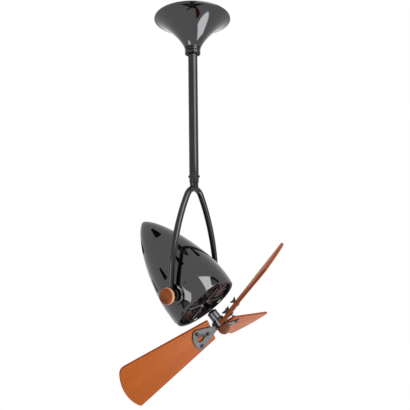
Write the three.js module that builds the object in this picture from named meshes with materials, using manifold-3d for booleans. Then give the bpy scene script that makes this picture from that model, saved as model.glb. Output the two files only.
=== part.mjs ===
// A directional ceiling fan: a bell canopy, a down rod, a bent-tube yoke, and one vented motor
// head that tilts between two wooden knobs and turns three wooden blades.
// Millimetres, +Z up. The origin is the middle of the ceiling face, on the rod's axis.
// The tilt axis runs along X.
import * as THREE from 'three';
import { mergeVertices } from 'three/addons/utils/BufferGeometryUtils.js';
import Module from 'manifold-3d';

const wasm = await Module();
wasm.setup();

// ---------------------------------------------------------------- shared clearances
const fitGap = 0.3;            // between pieces that seat on each other
const runGap = 0.4;            // between pieces that slide or turn past each other
const wood = { color: 0xad5a26, roughness: 0.35, metalness: 0 };
const darkWood = { color: 0x7a4526, roughness: 0.35, metalness: 0 };
const gunmetal = { color: 0x3a3a3c, roughness: 0.12, metalness: 0.9 };
const blackSteel = { color: 0x202022, roughness: 0.4, metalness: 0.8 };
const zincSteel = { color: 0xa8aaac, roughness: 0.35, metalness: 0.9 };
const siliconSteel = { color: 0x6f7174, roughness: 0.55, metalness: 0.7 };
const enamelWire = { color: 0x54201a, roughness: 0.35, metalness: 0.1 };
const blackRubber = { color: 0x171717, roughness: 0.85, metalness: 0 };
const paleNylon = { color: 0xd9d5cb, roughness: 0.5, metalness: 0 };

// ---------------------------------------------------------------- ceiling end
const plateLength = 150;
const plateWidth = 44;
const plateThickness = 3;
const slotSpacing = 124;
const slotLength = 14;
const slotWidth = 6;
const pinDrop = 32;            // hanger pin's axis below the ceiling
const pinRadius = 4;
const pinHeadRadius = 7;
const pinHeadLength = 4;
const clipThickness = 1.6;
const stirrupWidth = 24;
const stirrupThickness = 3;
const stirrupBelowPin = 11;
const bushLength = 5;
const bushRadius = 8.5;
const terminalLength = 26;
const terminalWidth = 16;
const terminalHeight = 11;
const capacitorLength = 34;
const capacitorWidth = 18;
const capacitorHeight = 19;
const partsOffset = 24;        // from the rod's axis to the terminal block and the capacitor

// ---------------------------------------------------------------- canopy and collar
const canopyRimRadius = 92.7;
const canopyRimTop = 3;        // below the ceiling
const canopyRimEdge = 3;       // straight edge of the rim
const canopyNeckRadius = 19.2;
const canopyNeckDrop = 78;     // where the flare would end
const canopyPower = 1.31;      // of the flare's superellipse
const canopyWall = 1.5;
const collarTop = 76;
const collarLength = 15.5;
const collarRadius = 19.2;
const collarSpigot = 7;
const collarScrewRadius = 2;

// ---------------------------------------------------------------- down rod and swivel
const rodRadius = 11.5;
const rodWall = 2;
const rodTop = 18;             // below the ceiling
const rodScrewRise = 15;       // of the screws above the rod's lower end
const rodScrewCount = 4;
const rodScrewAzimuth = 33;    // of the first screw
const rodScrewRadius = 1.9;
const rodScrewHeadRadius = 3.3;
const rodScrewHeadLength = 2.2;
const stemRadius = 10.3;
const stemSpigotLength = 32;
const stemBore = 5;
const stemNeck = 13.8;         // from the rod's end to the yoke's middle line

// ---------------------------------------------------------------- yoke
const pivotDrop = 662;         // tilt axis below the ceiling
const tubeRadius = 7.5;
const tubeWall = 2;
const legShellGap = 15.4;      // from the shell's widest circle to the leg's centre line
const legArcRadius = 410;
const bendRadius = 36;
const eyeRadius = 11;
const eyeLength = 15.4;
const studRadius = 4;
const washerRadius = 11.5;
const washerThickness = 1;
const knobRadius = 18.5;
const knobLength = 15.6;
const knobBoreDepth = 10;
const bossRadius = 24;
const bossDepth = 14;
const pivotNutRadius = 7;      // nut on the stud inside the shell

// ---------------------------------------------------------------- motor head
const headTilt = 43.6;         // degrees from straight down, towards -Y
const shellRadius = 82.6;
const shellNoseLength = 227;   // from the widest section to the nose
const shellWidest = -1.8;      // along the motor axis, from the pivot towards the blades
const shellPowerLong = 1.57;
const shellPowerRound = 0.7;
const shellWall = 1.8;
const shellSides = 28;         // flats round the shell
const lipStart = 6.4;
const lipEnd = 41.3;
const lipDraw = 4.8;           // how far the mouth draws in
const lipTurn = 5.3;           // how far the lip turns in from the mouth
const noseVentCount = 5;
const noseVentAzimuth = 41;
const noseVentPoint = -182;
const noseVentBase = -146;
const noseVentWidth = 19;
const slotVentCount = 10;
const slotVentAzimuth = 2.5;
const slotVentPoint = -75;
const slotVentBase = -42;
const slotVentWidth = 8.5;
const mouthVentCount = 6;
const mouthVentAzimuth = -2;
const mouthVentPoint = 19;
const mouthVentBase = 37.5;
const mouthVentWidth = 23;
const shellScrewAzimuth = 25;
const shellScrewAlong = -4;
const shellScrewRadius = 1.6;
const shellScrewHeadRadius = 3.2;
const shellScrewHeadLength = 1.6;
const shellScrewGrip = 7;
const shellScrewWell = 5.6;    // bore left beyond the screw's end
const legPivotX = shellRadius + legShellGap;
const lipRadius = shellRadius - lipDraw - lipTurn;

// ---------------------------------------------------------------- motor
const motorMiddle = 12.5;      // along the axis
const stackLength = 30;
const stackShellGap = 13.3;    // from the shell's inner wall
const airGap = 0.5;
const rotorRadius = 29;
const stackSlotDepth = 10.2;
const stackSlotWidth = 7;
const windingLoops = 20;
const windingSteps = 12;
const windingSides = 5;
const windingRadius = 2.7;     // of the bundle
const windingPower = 6;        // of the loop's superellipse
const windingOverhang = 5.5;   // of the loop's middle line past the stack
const windingOuterReach = 3.9;
const windingInnerReach = 34.6;
const windingLead = 6;
const frameThickness = 3;
const frameGap = 0.5;          // from the winding
const frameRimWall = 2;
const frameShellGap = 2;       // from the shell where it is widest
const frameRimLength = 13;
const armWidth = 9;
const armEndRadius = 6.5;
const boltInset = 5.5;         // of the bolts from the stack's outer edge
const boltCount = 4;
const boltAzimuth = 80;
const boltRadius = 2.3;
const boltHeadRadius = 4.2;
const boltHeadLength = 3.5;
const domeNutRadius = 4.6;
const domeNutLength = 3.4;
const shaftRadius = 6;
const shaftTop = -22;
const bearingRadius = 11;
const bearingWidth = 7;
const bossWall = 3.5;

// ---------------------------------------------------------------- hub and blades
const hubTop = 64;
const hubRadius = 12;
const hubEnd = 103.5;
const hubGrooveAt = 71;
const hubGrooveWidth = 2;
const hubGrooveDepth = 0.9;
const hubWeb = 8;              // solid end of the hub below the shaft
const capStudRadius = 4.5;
const capStudLength = 9;
const capRadius = 14;
const capLength = 20.5;
const bladePlane = 96;         // where the blades' middle plane meets the axis
const bladeThickness = 6;
const bladeEdge = 1.2;
const bladePhase = 14;         // azimuth of the first blade about the head's +Z
const bladePitches = [12, 35, 20];
const bladeRootReach = 24.5;
const bladeRootHalf = 28.5;
const bladeTipReach = 238;
const bladeTipHalf = 59;
const bladeTipBulge = 15;
const bladeLeadRound = 12;
const bladeTrailRound = 5;
const bladeRootRound = 3;
const bracketThickness = 2.6;
const bracketNeckHalf = 6;
const bracketEarReach = 61.5;
const bracketEarSide = 18.5;
const bracketEarRadius = 9.5;
const bracketReach = 76;
const bracketHoleReach = 58;
const bracketHoleLong = 8.5;
const bracketHoleWide = 6.5;
const bracketFrontScrew = 38;
const padThickness = 3.2;
const padTop = 86;
const padHalfAngle = 36;
const padScrewAlong = 90;
const padScrewRadius = 1.8;
const padScrewHeadRadius = 3;
const padScrewHeadLength = 2;
const padScrewGrip = 4;
const bladeScrewRadius = 1.9;
const bladeScrewHeadRadius = 4.2;
const bladeScrewHeadLength = 2.4;
const wingNutRadius = 3.8;
const wingNutLength = 5;
const wingSpan = 20;
const wingHeight = 8;
const wingThickness = 2;

// ================================================================ helpers
const rad = THREE.MathUtils.degToRad;
const X = new THREE.Vector3(1, 0, 0);
const Z = new THREE.Vector3(0, 0, 1);
const fan = new THREE.Group();
const head = new THREE.Group();
head.position.set(0, 0, -pivotDrop);
head.rotation.x = rad(-headTilt);
fan.add(head);

function solid(geometry) {
  const bare = geometry.clone();
  bare.deleteAttribute('normal');
  bare.deleteAttribute('uv');
  const merged = mergeVertices(bare, 1e-4);
  const index = merged.index.array;
  const triangles = [];
  for (let i = 0; i < index.length; i += 3) {
    const [a, b, c] = [index[i], index[i + 1], index[i + 2]];
    if (a !== b && b !== c && c !== a) triangles.push(a, b, c);
  }
  return new wasm.Manifold(new wasm.Mesh({
    numProp: 3,
    vertProperties: Float32Array.from(merged.attributes.position.array),
    triVerts: Uint32Array.from(triangles),
  }));
}

function shape(body) {
  const mesh = body.getMesh();
  const geometry = new THREE.BufferGeometry();
  geometry.setAttribute('position', new THREE.BufferAttribute(mesh.vertProperties, 3));
  geometry.setIndex(new THREE.BufferAttribute(mesh.triVerts, 1));
  return geometry;
}

function add(name, body, finish, parent = fan) {
  const geometry = shape(body);
  geometry.computeVertexNormals();
  const mesh = new THREE.Mesh(geometry, new THREE.MeshStandardMaterial(finish));
  mesh.name = name;
  parent.add(mesh);
  return mesh;
}

// A turned body about Z from a profile of [radius, z] points, outer side going up.
function turned(profile, segments = 24) {
  const points = profile.map(([r, z]) => new THREE.Vector2(r, z));
  return solid(new THREE.LatheGeometry(points, segments).rotateX(Math.PI / 2));
}

// A disc or ring about Z from z low to z high.
function ring(outer, inner, low, high, segments = 24) {
  const profile = inner > 0
    ? [[inner, low], [outer, low], [outer, high], [inner, high], [inner, low]]
    : [[0, low], [outer, low], [outer, high], [0, high]];
  return turned(profile, segments);
}

function moved(body, matrix) {
  return solid(shape(body).applyMatrix4(matrix));
}

function shifted(body, x, y, z) {
  return moved(body, new THREE.Matrix4().makeTranslation(x, y, z));
}

function turnedAboutZ(body, degrees) {
  return moved(body, new THREE.Matrix4().makeRotationZ(rad(degrees)));
}

// Lays a body that was made about Z along X, its +Z end pointing to side * X.
function alongX(body, side = 1) {
  return moved(body, new THREE.Matrix4().makeRotationY(side * Math.PI / 2));
}

function block(x0, x1, y0, y1, z0, z1) {
  const box = new THREE.BoxGeometry(x1 - x0, y1 - y0, z1 - z0);
  box.translate((x0 + x1) / 2, (y0 + y1) / 2, (z0 + z1) / 2);
  return solid(box);
}

// A flat plate from an outline in XY, between two heights.
function plate(outline, low, high, edge = 0) {
  const flat = new THREE.ExtrudeGeometry(outline, {
    depth: high - low - 2 * edge,
    bevelEnabled: edge > 0,
    bevelThickness: edge,
    bevelSize: edge,
    bevelOffset: -edge,
    bevelSegments: 1,
    curveSegments: 4,
  });
  return solid(flat.translate(0, 0, low + edge));
}

function circleOutline(radius, sides) {
  const points = [];
  for (let i = 0; i < sides; i += 1) {
    const a = (i + 0.5) * 2 * Math.PI / sides;
    points.push(new THREE.Vector2(radius * Math.cos(a), radius * Math.sin(a)));
  }
  return new THREE.Shape(points);
}

// The same profile moved inwards by a wall, both in [radius, z].
function inset(profile, wall) {
  return profile.map(([r, z], i) => {
    const [r0, z0] = profile[Math.max(i - 1, 0)];
    const [r1, z1] = profile[Math.min(i + 1, profile.length - 1)];
    const length = Math.hypot(r1 - r0, z1 - z0);
    const inner = r - wall * (z1 - z0) / length;
    return [Math.max(inner, 0), z + wall * (r1 - r0) / length];
  });
}

// ================================================================ ceiling end
function ceilingBracket() {
  const armInner = rodRadius + runGap + bushLength + fitGap;
  const armOuter = armInner + stirrupThickness;
  let body = block(-plateLength / 2, plateLength / 2, -plateWidth / 2, plateWidth / 2,
    -plateThickness, 0);
  for (const side of [-1, 1]) {
    const [x0, x1] = side > 0 ? [armInner, armOuter] : [-armOuter, -armInner];
    body = body.add(block(x0, x1, -stirrupWidth / 2, stirrupWidth / 2,
      -pinDrop - stirrupBelowPin, -plateThickness / 2));
    const slot = block(-slotLength / 2, slotLength / 2, -slotWidth / 2, slotWidth / 2,
      -plateThickness - 1, 1);
    body = body.subtract(shifted(slot, side * slotSpacing / 2, 0, 0));
  }
  const bore = alongX(ring(pinRadius + fitGap, 0, -armOuter - 1, armOuter + 1, 16));
  body = body.subtract(shifted(bore, 0, 0, -pinDrop));
  add('ceiling_bracket', body, zincSteel);

  const pin = ring(pinRadius, 0, -armOuter - 5, armOuter + fitGap, 16)
    .add(ring(pinHeadRadius, 0, armOuter + fitGap, armOuter + fitGap + pinHeadLength, 6));
  add('hanger_pin', alongX(pin), zincSteel).position.z = -pinDrop;
  const clip = ring(pinHeadRadius, pinRadius + fitGap, armOuter + fitGap,
    armOuter + fitGap + clipThickness, 12);
  add('hanger_pin_clip', alongX(clip, -1), zincSteel).position.z = -pinDrop;
  for (const [side, word] of [[-1, 'left'], [1, 'right']]) {
    const bush = ring(bushRadius, pinRadius + fitGap, rodRadius + runGap,
      rodRadius + runGap + bushLength, 12);
    add('hanger_bush_' + word, alongX(bush, side), blackRubber).position.z = -pinDrop;
  }
}

function ceilingParts() {
  const top = -plateThickness - fitGap;
  let terminal = block(partsOffset, partsOffset + terminalLength, -terminalWidth / 2,
    terminalWidth / 2, top - terminalHeight, top);
  const wayCount = 3;
  const wayPitch = terminalLength / wayCount;
  for (let i = 0; i < wayCount; i += 1) {
    const screwWell = ring(2.4, 0, top - terminalHeight - 1, top - terminalHeight / 2, 8);
    terminal = terminal.subtract(shifted(screwWell, partsOffset + wayPitch * (i + 0.5), 0, 0));
  }
  add('terminal_block', terminal, paleNylon);
  const can = block(-partsOffset - capacitorLength, -partsOffset, -capacitorWidth / 2,
    capacitorWidth / 2, top - capacitorHeight, top);
  add('run_capacitor', can, blackRubber);
}

// ================================================================ canopy and collar
function canopy() {
  const flare = [];
  const steps = 9;
  const power = 2 / canopyPower;
  const last = canopyRimTop + canopyRimEdge;
  for (let i = 0; i <= steps; i += 1) {
    const t = i / steps * Math.PI / 2;
    const r = canopyRimRadius - (canopyRimRadius - canopyNeckRadius) * Math.cos(t) ** power;
    const drop = canopyNeckDrop - (canopyNeckDrop - last) * Math.sin(t) ** power;
    if (drop < collarTop - fitGap) flare.push([r, -drop]);
  }
  const neck = flare[0][0];
  const outer = [[neck, -collarTop + fitGap], ...flare, [canopyRimRadius, -canopyRimTop]];
  const inner = inset(outer, canopyWall);
  inner[0][1] = outer[0][1];
  inner[inner.length - 1][1] = outer[outer.length - 1][1];
  add('canopy', turned([...outer, ...inner.reverse(), outer[0]], 28), gunmetal);
}

function collar() {
  const bore = rodRadius + runGap;
  const low = -collarTop - collarLength;
  const round = 4;
  const spigotRadius = canopyNeckRadius - canopyWall - runGap;
  const profile = [[bore, low], [collarRadius - round, low]];
  const turns = 3;
  for (let i = 0; i <= turns; i += 1) {
    const a = i / turns * Math.PI / 2;
    profile.push([collarRadius - round + round * Math.sin(a), low + round - round * Math.cos(a)]);
  }
  profile.push([collarRadius, -collarTop - 2]);
  profile.push([collarRadius - 1.2, -collarTop - 1]);
  profile.push([collarRadius, -collarTop]);
  profile.push([spigotRadius, -collarTop]);
  profile.push([spigotRadius, -collarTop + collarSpigot]);
  profile.push([bore, -collarTop + collarSpigot]);
  profile.push([bore, low]);
  const across = rodScrewAzimuth;
  const height = -collarTop - collarLength / 2;
  const well = alongX(ring(collarScrewRadius + fitGap, 0, rodRadius, collarRadius + 2, 12));
  const place = new THREE.Matrix4().makeTranslation(0, 0, height)
    .multiply(new THREE.Matrix4().makeRotationZ(rad(across)));
  add('canopy_collar', turned(profile, 20).subtract(moved(well, place)), gunmetal);
  const screw = alongX(ring(collarScrewRadius, 0, bore - 0.1, collarRadius - 0.5, 12));
  add('collar_screw', moved(screw, place), blackSteel);
}

// ================================================================ down rod and swivel
function downRod() {
  const bore = rodRadius - rodWall;
  let tube = ring(rodRadius, bore, -rodEnd, -rodTop, 20);
  const pinBore = alongX(ring(pinRadius + fitGap, 0, -rodRadius - 1, rodRadius + 1, 16));
  tube = tube.subtract(shifted(pinBore, 0, 0, -pinDrop));
  const spigotRadius = bore - runGap;
  for (let i = 0; i < rodScrewCount; i += 1) {
    const place = new THREE.Matrix4().makeTranslation(0, 0, -rodScrewDrop)
      .multiply(new THREE.Matrix4().makeRotationZ(rad(rodScrewAzimuth + 360 / rodScrewCount * i)));
    const hole = alongX(ring(rodScrewRadius + fitGap, 0, bore - 1, rodRadius + 1, 8));
    tube = tube.subtract(moved(hole, place));
    const seat = rodRadius + fitGap;
    const screw = ring(rodScrewRadius, 0, spigotRadius + fitGap, seat, 8)
      .add(turned([[0, seat - 0.01], [rodScrewHeadRadius, seat - 0.01],
        [rodScrewHeadRadius, seat + rodScrewHeadLength * 0.6],
        [rodScrewHeadRadius * 0.6, seat + rodScrewHeadLength], [0, seat + rodScrewHeadLength]], 10));
    add('rod_screw_' + (i + 1), moved(alongX(screw), place), blackSteel);
  }
  add('downrod', tube, gunmetal);
}

// The yoke's centre line: a leg arc, the top bend and the other leg arc, all in XZ.
class YokeLine extends THREE.Curve {
  constructor() {
    super();
    this.legCentre = legArcRadius - legPivotX;
    const reach = legArcRadius - bendRadius;
    this.sweep = Math.acos(this.legCentre / reach);
    this.bendHeight = Math.sqrt(reach ** 2 - this.legCentre ** 2);
    this.legLength = legArcRadius * this.sweep;
    this.bendLength = bendRadius * (Math.PI - 2 * this.sweep);
    this.total = 2 * this.legLength + this.bendLength;
  }

  getPoint(t, target = new THREE.Vector3()) {
    const along = t * this.total;
    const mirrored = along > this.total / 2;
    const s = mirrored ? this.total - along : along;
    const side = mirrored ? -1 : 1;
    if (s < this.legLength) {
      const a = s / legArcRadius;
      const x = legArcRadius * Math.cos(a) - this.legCentre;
      return target.set(side * x, 0, legArcRadius * Math.sin(a) - pivotDrop);
    }
    const a = this.sweep + (s - this.legLength) / bendRadius;
    const z = this.bendHeight + bendRadius * Math.sin(a) - pivotDrop;
    return target.set(side * bendRadius * Math.cos(a), 0, z);
  }
}
const yokeLine = new YokeLine();
const yokeSteps = 24;
const yokeTop = pivotDrop - yokeLine.bendHeight - bendRadius;
const rodEnd = yokeTop - stemNeck;
const rodScrewDrop = rodEnd - rodScrewRise;

function yokeSweep(radius, sides, steps) {
  return solid(new THREE.ExtrudeGeometry(circleOutline(radius, sides), {
    steps,
    bevelEnabled: false,
    extrudePath: yokeLine,
  }));
}

function yoke() {
  let body = yokeSweep(tubeRadius, 12, yokeSteps);
  for (const side of [-1, 1]) {
    const eye = ring(eyeRadius, 0, legPivotX - eyeLength / 2, legPivotX + eyeLength / 2, 16);
    body = body.add(shifted(alongX(eye, side), 0, 0, -pivotDrop));
  }
  body = body.subtract(yokeSweep(tubeRadius - tubeWall, 6, yokeSteps));
  const wireWay = ring(stemBore - 1, 0, -yokeTop, -yokeTop + tubeRadius + 2, 12);
  body = body.subtract(wireWay);
  const long = legPivotX + eyeLength;
  const bore = alongX(ring(studRadius + fitGap, 0, -long, long, 12));
  body = body.subtract(shifted(bore, 0, 0, -pivotDrop));
  add('yoke', body, gunmetal);
}

function swivelStem() {
  const spigotRadius = rodRadius - rodWall - runGap;
  const shoulder = -rodEnd - runGap;
  const body = turned([[stemBore, -yokeTop], [stemRadius, -yokeTop], [stemRadius, shoulder],
    [spigotRadius, shoulder], [spigotRadius, -rodEnd + stemSpigotLength],
    [stemBore, -rodEnd + stemSpigotLength], [stemBore, -yokeTop]], 20);
  add('swivel_stem', body.subtract(yokeSweep(tubeRadius + fitGap, 12, yokeSteps)), gunmetal);
}

// ================================================================ motor shell
// Outer profile from the nose to the mouth as [radius, along], along the motor axis.
function shellProfile(noseSteps, mouthSteps) {
  const points = [];
  for (let i = 0; i <= noseSteps; i += 1) {
    const a = (1 - i / noseSteps) * Math.PI / 2;
    const u = Math.sin(a) ** (2 / shellPowerLong);
    const r = shellRadius * Math.cos(a) ** (2 * shellPowerRound);
    points.push([i === 0 ? 0 : r, shellWidest - shellNoseLength * u]);
  }
  points.push([shellRadius, lipStart]);
  for (let i = 1; i <= mouthSteps; i += 1) {
    const a = i / mouthSteps * Math.PI / 2;
    points.push([shellRadius - lipDraw * (1 - Math.cos(a)), lipStart + (lipEnd - lipStart) * Math.sin(a)]);
  }
  return points;
}

// From [radius, along] to a body in the head's frame, where the motor axis is -Z.
function turnedAlong(profile, segments) {
  return turned(profile.map(([r, s]) => [r, -s]).reverse(), segments);
}

// Head-frame azimuth of a mark at an angle from the left knob, going up over the shell.
function shellAzimuth(degrees) {
  return 180 + degrees;
}

// A rounded triangle or taper: its point at low, its base of the given width at high.
function ventOutline(low, high, pointWidth, baseWidth) {
  const outline = new THREE.Shape();
  const [p, b] = [pointWidth / 2, baseWidth / 2];
  const corner = Math.min(b * 0.8, (high - low) / 3);
  outline.moveTo(low + p, -p);
  outline.lineTo(high - corner, -b);
  outline.quadraticCurveTo(high, -b, high, -b + corner);
  outline.lineTo(high, b - corner);
  outline.quadraticCurveTo(high, b, high - corner, b);
  outline.lineTo(low + p, p);
  outline.quadraticCurveTo(low, 0, low + p, -p);
  return outline;
}

// A cutter that pushes a vent's outline out through the shell from the axis.
function ventCutter(outline, azimuth) {
  const prism = new THREE.ExtrudeGeometry(outline, {
    depth: shellRadius + shellWall,
    bevelEnabled: false,
    curveSegments: 1,
  });
  const place = new THREE.Matrix4().makeRotationZ(rad(shellAzimuth(azimuth)))
    .multiply(new THREE.Matrix4().makeBasis(
      new THREE.Vector3(0, 0, -1),
      new THREE.Vector3(0, 1, 0),
      new THREE.Vector3(1, 0, 0),
    ));
  return solid(prism.applyMatrix4(place));
}

function shellBody() {
  const outer = shellProfile(9, 3);
  const inner = inset(shellProfile(6, 2), shellWall);
  inner[0][0] = 0;
  const lipInside = lipEnd - shellWall;
  const wallEnd = inner.filter(([, s]) => s < lipInside - 0.2);
  const profile = [...outer, [lipRadius, lipEnd], [lipRadius, lipInside],
    [wallEnd[wallEnd.length - 1][0] - 0.2, lipInside], ...wallEnd.reverse()];
  return turnedAlong(profile, shellSides);
}

function motorShell() {
  let body = shellBody();
  const rows = [
    [noseVentCount, noseVentAzimuth, ventOutline(noseVentPoint, noseVentBase, 5, noseVentWidth)],
    [slotVentCount, slotVentAzimuth, ventOutline(slotVentPoint, slotVentBase, 3.5, slotVentWidth)],
    [mouthVentCount, mouthVentAzimuth, ventOutline(mouthVentPoint, mouthVentBase, 5, mouthVentWidth)],
  ];
  for (const [count, first, outline] of rows) {
    for (let i = 0; i < count; i += 1) {
      body = body.subtract(ventCutter(outline, first + 360 / count * i));
    }
  }
  const long = shellRadius + 5;
  const wellEnd = shellRadius - shellScrewGrip - shellScrewWell;
  body = body.subtract(alongX(ring(studRadius + fitGap, 0, -long, long, 16)));
  body = body.subtract(shellScrewPlace(alongX(ring(shellScrewRadius + fitGap, 0, wellEnd, long, 8))));
  add('motor_shell', body, gunmetal, head);
  const seat = shellRadius + fitGap;
  const screw = alongX(ring(shellScrewRadius, 0, seat - shellScrewGrip, seat, 8)
    .add(ring(shellScrewHeadRadius, 0, seat - 0.01, seat + shellScrewHeadLength, 12)));
  add('shell_screw', shellScrewPlace(screw), blackSteel, head);
}

function shellScrewPlace(body) {
  return moved(body, new THREE.Matrix4().makeTranslation(0, 0, -shellScrewAlong)
    .multiply(new THREE.Matrix4().makeRotationZ(rad(shellAzimuth(shellScrewAzimuth)))));
}

// ================================================================ pivots and knobs
const bossFace = legPivotX - eyeLength / 2 - 2 * fitGap - washerThickness;
const knobSeat = legPivotX + eyeLength / 2 + 2 * fitGap + washerThickness;

function pivots() {
  const clearance = turnedAlong(shellProfile(9, 3).map(([r, s]) => [r + (r > 0 ? fitGap : 0), s])
    .concat([[0, lipEnd]]), shellSides);
  for (const [side, word] of [[-1, 'left'], [1, 'right']]) {
    const disc = ring(bossRadius, 0, bossFace - bossDepth, bossFace, 24);
    const inside = shellRadius - shellWall;
    const stud = ring(studRadius, 0, inside - 2, knobSeat + knobBoreDepth - 1, 16)
      .add(ring(pivotNutRadius, 0, inside - 4.2, inside - 1, 6));
    const boss = alongX(disc, side).subtract(clearance).add(alongX(stud, side));
    add('pivot_boss_' + word, boss, gunmetal, head);
    const washer = ring(washerRadius, studRadius + fitGap, bossFace + fitGap,
      bossFace + fitGap + washerThickness, 16);
    add('friction_washer_' + word, alongX(washer, side), blackRubber, head);
    const outerWasher = ring(washerRadius, studRadius + fitGap, knobSeat - fitGap - washerThickness,
      knobSeat - fitGap, 16);
    add('knob_washer_' + word, alongX(outerWasher, side), zincSteel, head);
    add('knob_' + word, alongX(knobBody(), side), wood, head);
  }
}

// A turned knob: a short waist at the back, a full rim and a low dome.
function knobBody() {
  const bore = studRadius + fitGap;
  const domeHeight = 6;
  const rimTop = knobLength - domeHeight;
  const profile = [[bore, 0], [knobRadius * 0.9, 0], [knobRadius, 2], [knobRadius, rimTop - 2]];
  const steps = 4;
  for (let i = 1; i <= steps; i += 1) {
    const a = i / steps * Math.PI / 2;
    profile.push([i === steps ? 0 : knobRadius * Math.cos(a) ** 0.8,
      rimTop - 2 + (domeHeight + 2) * Math.sin(a)]);
  }
  profile.push([0, knobBoreDepth], [bore, knobBoreDepth], [bore, 0]);
  return shifted(turned(profile, 20), 0, 0, knobSeat);
}

// ================================================================ motor
const stackRadius = shellRadius - shellWall - stackShellGap;
const boltCircle = stackRadius - boltInset;
const stackTop = motorMiddle - stackLength / 2;
const stackEnd = motorMiddle + stackLength / 2;
const loopHalf = stackLength / 2 + windingOverhang;
const loopOuter = stackRadius + windingOuterReach;
const windingTop = motorMiddle - loopHalf - windingRadius;
const windingEnd = motorMiddle + loopHalf + windingRadius;
const upperFrame = windingTop - frameGap - frameThickness;
const lowerFrame = windingEnd + frameGap;

function along(body) {
  return moved(body, new THREE.Matrix4().makeRotationX(Math.PI));
}

function statorStack() {
  const bore = rotorRadius + airGap;
  let body = ring(stackRadius, bore, stackTop, stackEnd, 32);
  for (let i = 0; i < windingLoops; i += 1) {
    const slot = block(bore - 2, bore + stackSlotDepth, -stackSlotWidth / 2, stackSlotWidth / 2,
      stackTop - 1, stackEnd + 1);
    body = body.subtract(turnedAboutZ(slot, windingAzimuth(i)));
  }
  for (let i = 0; i < boltCount; i += 1) {
    const hole = ring(boltRadius + fitGap, 0, stackTop - 1, stackEnd + 1, 10);
    body = body.subtract(turnedAboutZ(shifted(hole, boltCircle, 0, 0), -boltAt(i)));
  }
  add('stator_stack', along(body), siliconSteel, head);
}

function boltAt(i) {
  return boltAzimuth + 360 / boltCount * i;
}

// Azimuth of a slot, counted in the turned-over frame, half a slot away from the bolts.
function windingAzimuth(i) {
  return -boltAzimuth + 360 / windingLoops * (i + 0.5);
}

// The winding's middle line: each loop runs out along the stack, in over its end, back
// through its slot and out again, and moves on by one slot on the outside.
function windingPath() {
  const points = [];
  const middle = (loopOuter + windingInnerReach) / 2;
  const half = (loopOuter - windingInnerReach) / 2;
  const step = 360 / windingSteps;
  const power = 2 / windingPower;
  const signed = (v) => Math.sign(v) * Math.abs(v) ** power;
  const at = (loop, k) => {
    const t = rad(-step + k * step);
    const r = middle + half * signed(Math.cos(t));
    const s = motorMiddle + loopHalf * signed(Math.sin(t));
    const move = Math.min(k / 2, 1) - 1;
    const azimuth = rad(windingAzimuth(loop) + move * 360 / windingLoops);
    return [r, s, azimuth];
  };
  for (let loop = 0; loop < windingLoops; loop += 1) {
    const lastStep = loop === windingLoops - 1 ? windingSteps - 4 : windingSteps - 1;
    for (let k = 0; k <= lastStep; k += 1) points.push(at(loop, k));
  }
  const first = points[0];
  const last = points[points.length - 1];
  points.unshift([first[0], first[1] - windingLead, first[2]]);
  points.push([last[0], last[1] - windingLead, last[2]]);
  return points.map(([r, s, a]) => new THREE.Vector3(r * Math.cos(a), r * Math.sin(a), s));
}

// One tube along a list of points, its sides set out from the direction round the axis.
function tube(points, radius, sides) {
  const positions = [];
  const index = [];
  points.forEach((point, i) => {
    const before = points[Math.max(i - 1, 0)];
    const after = points[Math.min(i + 1, points.length - 1)];
    const tangent = after.clone().sub(before).normalize();
    const round = new THREE.Vector3().crossVectors(Z, point).normalize();
    const side = new THREE.Vector3().crossVectors(tangent, round).normalize();
    const other = new THREE.Vector3().crossVectors(tangent, side).normalize();
    for (let k = 0; k < sides; k += 1) {
      const a = k / sides * 2 * Math.PI;
      const corner = point.clone()
        .addScaledVector(side, radius * Math.cos(a))
        .addScaledVector(other, radius * Math.sin(a));
      positions.push(corner.x, corner.y, corner.z);
    }
  });
  const rings = points.length;
  for (let i = 0; i < rings - 1; i += 1) {
    for (let k = 0; k < sides; k += 1) {
      const next = (k + 1) % sides;
      const [a, b] = [i * sides + k, i * sides + next];
      const [c, d] = [a + sides, b + sides];
      index.push(a, b, c, b, d, c);
    }
  }
  for (let k = 1; k < sides - 1; k += 1) {
    index.push(0, k + 1, k);
    const end = (rings - 1) * sides;
    index.push(end, end + k, end + k + 1);
  }
  const geometry = new THREE.BufferGeometry();
  geometry.setAttribute('position', new THREE.Float32BufferAttribute(positions, 3));
  geometry.setIndex(index);
  return geometry;
}

// The least gap between stretches of the winding that aren't next to each other.
function leastGap(points, diameter) {
  const line = new THREE.CatmullRomCurve3(points, false, 'catmullrom', 0);
  const fine = line.getPoints(points.length * 4);
  const skip = 4 * Math.round(windingSteps / 2);
  let least = Infinity;
  for (let i = 0; i < fine.length; i += 1) {
    for (let j = i + skip; j < fine.length; j += 1) {
      least = Math.min(least, fine[i].distanceTo(fine[j]));
    }
  }
  return least - diameter;
}

function winding() {
  const path = windingPath();
  console.log('winding: least gap to itself', leastGap(path, 2 * windingRadius).toFixed(2), 'mm');
  const body = solid(tube(path, windingRadius, windingSides));
  add('stator_winding', along(body), enamelWire, head);
}

function bearingSeat(face, inwards) {
  const low = Math.min(face, face + inwards * (bearingWidth + 1));
  return ring(bearingRadius + fitGap + bossWall, bearingRadius + fitGap, low,
    low + bearingWidth + 1, 18);
}

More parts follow.
